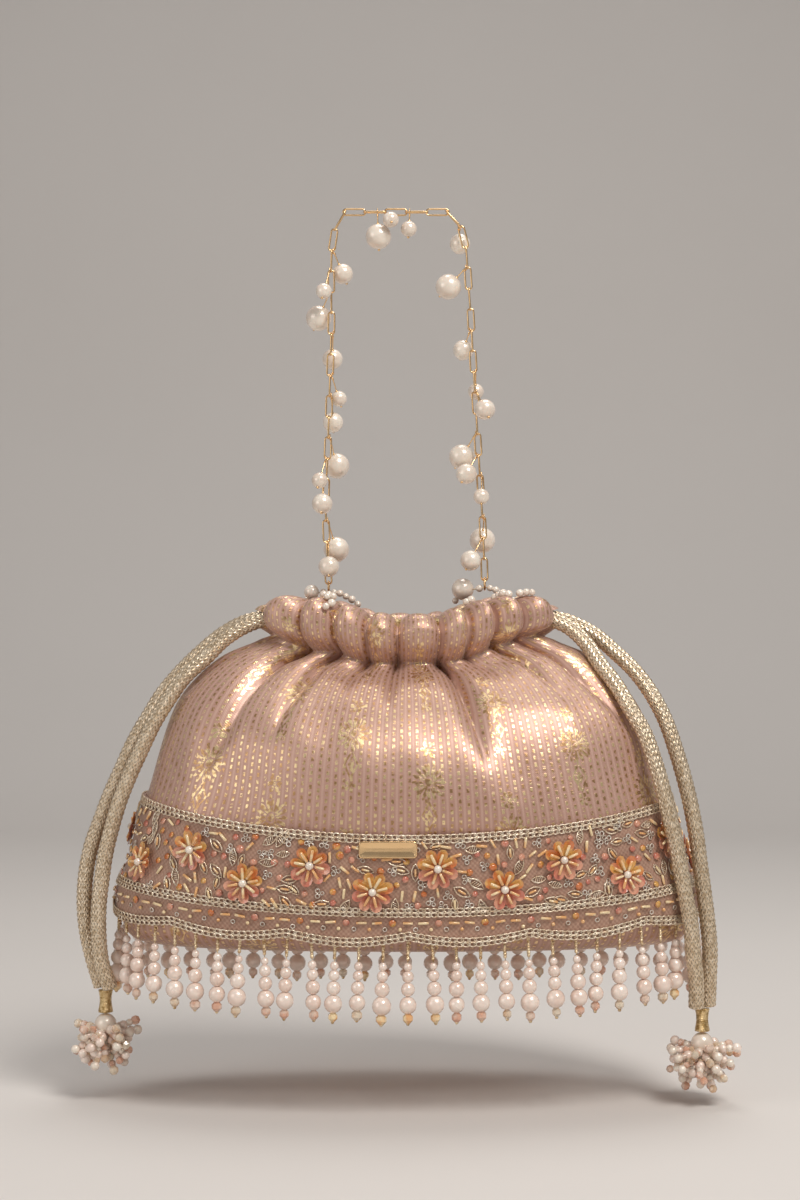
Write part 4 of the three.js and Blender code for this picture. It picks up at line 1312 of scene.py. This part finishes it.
def makeFringe():
    rng = random.Random(fringeSettings["seed"])
    total = pouchSettings["clothLength"]
    stems, edges = [], []
    seeds, pearls, drops = [], [], ([], [], [])
    for i in range(fringeSettings["strands"]):
        cloth = total * (i / fringeSettings["strands"] + 0.25)
        turn = turnAt(cloth)
        low, high = bandEdges(turn)
        top = wallPoint(turn, low + 1.2, 0.6)
        out = (wallPoint(turn, low, 3) - wallPoint(turn, low, 0)).normalized()
        lean = Vector((rng.uniform(-0.05, 0.05), rng.uniform(-0.05, 0.02), 0)) + out * 0.02
        down = (Vector((0, 0, -1)) + lean).normalized()
        at = 0.0
        while at < fringeSettings["stem"] - 0.9:
            seeds.append((top + down * at, down, out, 0.72))
            at += fringeSettings["seedStep"]
        at = fringeSettings["stem"]
        for radius in fringeSettings["pearls"]:
            size = radius * rng.uniform(0.93, 1.05)
            at += size * 0.95
            pearls.append((top + down * at, down, out, size))
            at += size * 0.95
        at += fringeSettings["crystal"] * 0.75
        pick = rng.random()
        size = fringeSettings["crystal"] * rng.uniform(0.85, 1.0)
        drops[0 if pick < 0.5 else 1 if pick < 0.8 else 2].append((top + down * at, down, out, size))
        end = at + fringeSettings["crystal"] * 0.8
        seeds.append((top + down * (end + 0.3), down, out, 0.7))
        stems += [top + Vector((0, 0, 1.5)), top + down * (end + 0.8)]
        edges.append((2 * i, 2 * i + 1))
    threads = carrierMesh("strands", stems, edges=edges)
    parts = [
        growBeads("stemSeeds", seeds, tinyBead, stemBead),
        growBeads("fringePearls", pearls, smallPearl, rosePearl),
        growBeads("dropsPeach", drops[0], cutCrystal, peachCrystal),
        growBeads("dropsChampagne", drops[1], cutCrystal, champagneCrystal),
        growBeads("dropsGold", drops[2], cutCrystal, bugleGold),
        grow("strandThreads", threads, threadTree, Thickness=0.18 * mm, Sides=4, Finish=goldThread),
        makeTape(),
    ]
    fringe = joinPieces("beadFringe", parts)
    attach(fringe, "bag")
    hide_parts(*[name for name in frame["nodes"] if name.startswith("fringe_")])
    return fringe


def makeTape():
    # the ribbon that the strands are sewn to, behind the band's low edge
    total, around = pouchSettings["clothLength"], fringeSettings["tapeAround"]
    vertices = []
    for height, out in ((0.4, 0.9), (3.6, 0.9), (3.6, 0.3), (0.4, 0.3)):
        for i in range(around):
            turn = turnAt(total * i / around)
            vertices.append(wallPoint(turn, bandEdges(turn)[0] + height, out))
    faces = gridFaces(4, around, looped=True)
    made = meshObject("fringeTape", vertices, faces, net, [(0.0, 0.0)] * len(vertices), smooth=False)
    fixNormals(made, weldReach)
    return made


makeFringe()
print("fringe made")


chainSettings = dict(
    wire=0.35, apex=4.37, bend=1.2, legLinks=18, topLinks=5,
    left=[(-24, -7.4), (-25.2, -47), (-26.6, -94), (-27.4, -113), (-26, -150)],
    right=[(25.6, -6.4), (28.6, -32), (30.4, -63), (32, -90), (34.2, -129), (34.8, -150)],
)
linkPitch = 2 * (chainSettings["apex"] - chainSettings["wire"]) + 0.08  # links drawn tight


def linkOutline():
    straight = chainSettings["apex"] - chainSettings["bend"]
    bend = chainSettings["bend"]
    outline = []
    for end in (1, -1):
        for k in range(9):
            turn = math.pi * k / 8
            outline.append((end * bend * math.cos(turn), 0, end * (straight + bend * math.sin(turn))))
    return outline


link = wireLoop("chainLink", linkOutline(), chainSettings["wire"], 8)


def legJoints(side, route):
    topHalf = chainSettings["topLinks"] * linkPitch / 2
    start = (side * (topHalf - 0.5), 0, 0.15)
    fine, length = smoothRoute([start] + [(x, 0, z) for x, z in route], 0.1)
    joints = [fine[0]]
    for point in fine:
        if (point - joints[-1]).length >= linkPitch and len(joints) <= chainSettings["legLinks"]:
            joints.append(joints[-1] + (point - joints[-1]).normalized() * linkPitch)
    return joints


def makeChain():
    topHalf = chainSettings["topLinks"] * linkPitch / 2
    top = [Vector((-topHalf + i * linkPitch, 0, 0)) for i in range(chainSettings["topLinks"] + 1)]
    left, right = legJoints(-1, chainSettings["left"]), legJoints(1, chainSettings["right"])
    rows = []
    for joints, firstFlat in ((left, 0), (top, 1), (right, 0)):
        for i, (a, b) in enumerate(zip(joints, joints[1:])):
            along = (b - a).normalized()
            facing = Vector((0, 1, 0)) if (i - firstFlat) % 2 else along.cross(Vector((0, 1, 0)))
            rows.append(((a + b) / 2, along, facing, 1.0))
    chain = growBeads("chainLinks", rows, link, gold, unevenness=0.0)
    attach(chain, "handle")
    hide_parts("chain_left", "chain_top", "chain_right")


makeChain()
print("chain made")


charmSettings = dict(radii=(5.0, 4.0, 3.1), eye=1.1, eyeWire=0.2, pinWire=0.24)


def pearlOf(node, eye):
    # the pearl's middle and radius: its pole furthest from the chain lies level with its middle
    vertices = frame["nodes"][node].data.vertices
    far = max((v.co / mm for v in vertices), key=lambda p: abs(p.y - eye.y))
    lowest = min(v.co.z for v in vertices) / mm
    radius = min(charmSettings["radii"], key=lambda r: abs(r - (far.z - lowest)))
    return Vector((far.x, far.y - math.copysign(radius, far.y - eye.y), far.z)), radius


def makeCharm(joint):
    node = joint["child"]
    eye = Vector(joint["pos_m"]) / mm
    middle, radius = pearlOf(node, eye)
    pin = (eye - middle).normalized()
    rows = [(middle, pin, Vector((0, 1, 0.01)), radius)]
    parts = [growBeads("pearl", rows, finePearl, ivoryPearl, unevenness=0.0)]
    axis = Vector(joint["axis"]).normalized()
    across = axis.cross(pin).normalized()
    up = across.cross(axis)
    ring = charmSettings["eye"]
    turns = [2 * math.pi * k / 20 for k in range(20)]
    loop = [eye + (across * math.cos(t) + up * math.sin(t)) * ring for t in turns]
    foot = eye - pin * ring
    cap = middle - pin * (radius + 0.25)
    for name, path in (("eye", loop), ("pin", [foot, cap])):
        parts.append(grow(name, pathMesh(name, path, closed=name == "eye"), threadTree,
                          Thickness=charmSettings[name + "Wire"] * mm, Sides=6, Finish=gold))
    collar = [(foot - pin * 0.3 * k, pin, axis, 0.42) for k in range(3)]
    collar.append((cap + pin * 0.1, pin, axis, 0.55))
    collar.append((middle + pin * (radius - 0.05), pin, axis, 0.6))
    parts.append(growBeads("collar", collar, tinyBead, gold))
    charm = joinPieces(node.replace("_", "") + "Pearl", parts)
    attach(charm, node)
    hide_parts(node)


for joint in frame["joints"]:
    if joint["child"].startswith("charm"):
        makeCharm(joint)
print("pearls made")


loopSettings = dict(
    bead=1.3, thread=0.2, hoopWire=0.4, reach=11.5, drop=5.4, seed=3,
    left=[
        (-0.8, -6, 0.9, 1.5), (1.6, -8.5, 1, 1.7), (-1.5, -10.5, 0.9, 1.6), (0.9, -12.8, 0.6, 1.5),
        (3.0, -15.2, -0.4, 1.6), (0.2, -16.8, -1.6, 1.5), (2.4, -19, -4, 1.6), (-0.6, -20, -6, 1.4),
    ],
    right=[
        (2.4, -5, 1, 1.5), (4.8, -7, 1, 1.6), (7.2, -9, 1, 1.7), (9.8, -10.5, 1, 1.6),
        (12.6, -11, 0, 1.6), (15.4, -11, 0, 1.5), (18, -11.4, 0, 1.4), (-7.4, -8, 0, 1.6),
        (-9.8, -9.4, 0, 1.5),
    ],
)


pouchFaces = [tuple(p.vertices) for p in pouch.data.polygons]
pouchTree = BVHTree.FromPolygons([v.co for v in pouch.data.vertices], pouchFaces)


def makeMouthLoop(side):
    rng = random.Random(loopSettings["seed"] + len(side))
    low, high = nodeBox(f"anchor_ring_{side}")
    middle = (low + high) / 2
    radius = (high.z - low.z) / 2 - loopSettings["hoopWire"]
    turns = [2 * math.pi * k / 24 for k in range(24)]
    hoop = [middle + Vector((0, math.cos(t), math.sin(t))) * radius for t in turns]
    ring = grow(f"{side}MouthRing", pathMesh("hoop", hoop), threadTree,
                Thickness=loopSettings["hoopWire"] * mm, Sides=8, Finish=gold)
    seat = Vector((middle.x, middle.y, middle.z - radius + 0.8))
    reach, drop = loopSettings["reach"], loopSettings["drop"]

    def settle(spot, size, touching):
        # a bead never sinks in the cloth; some are laid on it
        place, outward = pouchTree.find_nearest(spot * mm)[:2]
        apart = (spot * mm - place).dot(outward) / mm
        return place / mm + outward * size if touching or apart < size else spot

    def arc(x):
        return seat + Vector((x, 4 * (x / reach) ** 2, -drop * (x / reach) ** 2))

    thread = [arc(reach * k / 8) for k in range(-8, 9)]
    big = (Vector((-6.6, -1.2, -0.4)), 2.9) if side == "left" else (Vector((-8.5, 2.5, -0.6)), 4.3)
    beads = []
    for x in [s * (2.1 + 2.3 * k) for s in (-1, 1) for k in range(5)]:
        spot = arc(x) + Vector((0, -0.2, rng.uniform(-0.3, 0.3)))
        size = loopSettings["bead"] * rng.uniform(0.92, 1.15)
        if (spot - seat - big[0]).length > big[1] + 0.9:
            beads.append((settle(spot, size, False), Vector((1, 0, -x / 20)), Vector((0, -1, 0)), size))
    for x, y, z, size in loopSettings[side]:
        spot = settle(seat + Vector((x, y, z)), size, True)
        beads.append((spot, Vector((1, 0, 0.4)), Vector((0, -1, 0)), size))
    pearl = [(seat + big[0], Vector((0.2, 0, 1)), Vector((0, -1, 0)), big[1])]
    parts = [
        growBeads("loopBeads", beads, smallPearl, ivoryPearl),
        growBeads("loopPearl", pearl, finePearl, ivoryPearl, unevenness=0.0),
        grow("loopThread", pathMesh("loopThread", thread, closed=False), threadTree,
             Thickness=loopSettings["thread"] * mm, Sides=5, Finish=goldThread),
    ]
    loop = joinPieces(f"{side}MouthBeads", parts)
    for piece, node, slot in ((ring, "anchor_ring", "gold"), (loop, "bead_loop", "pearl")):
        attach(piece, "bag")
        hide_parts(f"{node}_{side}")


for side in ("left", "right"):
    makeMouthLoop(side)
print("mouth beads made")


def dress(node, material):
    # a hidden CAD piece keeps its shape and gets a real finish
    piece = frame["nodes"][node]
    for slot in piece.material_slots:
        slot.material = material


dress("base_board", makeCard())
for side in ("left", "right"):
    dress(f"drawcord_{side}_run", goldThread)


stageSettings = dict(floorZ=-343.5, back=1500.0, front=-1700.0, half=3200.0, tall=2600.0, sweep=500.0)


def makeStage():
    # a floor that sweeps up into the backdrop
    settings = stageSettings
    sweep, floorZ, bendY = settings["sweep"], settings["floorZ"], settings["back"] - settings["sweep"]
    turns = [math.pi / 2 * k / 16 for k in range(17)]
    profile = [(settings["front"], floorZ)]
    profile += [(bendY + sweep * math.sin(t), floorZ + sweep * (1 - math.cos(t))) for t in turns]
    profile.append((settings["back"], settings["tall"]))
    vertices = [(x, y, z) for y, z in profile for x in (-settings["half"], settings["half"])]
    faces = [(2 * i, 2 * i + 1, 2 * i + 3, 2 * i + 2) for i in range(len(profile) - 1)]
    material, tree, shader = newMaterial("paleFloor")
    tone = mixColors(tree, noiseAt(tree, coordsOf(tree), 3.0), (0.66, 0.63, 0.6), (0.7, 0.67, 0.64))
    setSockets(shader, Base_Color=tone, Roughness=0.85)
    meshObject("floor", vertices, faces, material)


def makeLight(name, place, target, size, energy, color):
    data = bpy.data.lights.new(name, "AREA")
    data.shape, data.size, data.energy, data.color = "DISK", size, energy, color
    lamp = bpy.data.objects.new(name, data)
    lamp.location = place
    lamp.rotation_euler = (Vector(target) - Vector(place)).to_track_quat("-Z", "Y").to_euler()
    bpy.context.scene.collection.objects.link(lamp)


makeStage()
middle = (0, 0, -0.2)
makeLight("keyLight", (0.5, -0.75, 0.85), middle, 0.6, 12.8, (1.0, 0.96, 0.92))
makeLight("fillLight", (-1.1, -0.8, 0.2), middle, 0.9, 3.4, (1.0, 0.95, 0.92))
makeLight("topLight", (0.1, 0.35, 1.0), middle, 0.7, 5.0, (1.0, 0.98, 0.96))
world = bpy.data.worlds.new("studio")
world.use_nodes = True
setSockets(world.node_tree.nodes["Background"], Color=(0.92, 0.9, 0.9, 1), Strength=0.3)
bpy.context.scene.world = world
bpy.context.scene.view_settings.view_transform = "Standard"
print("stage made")
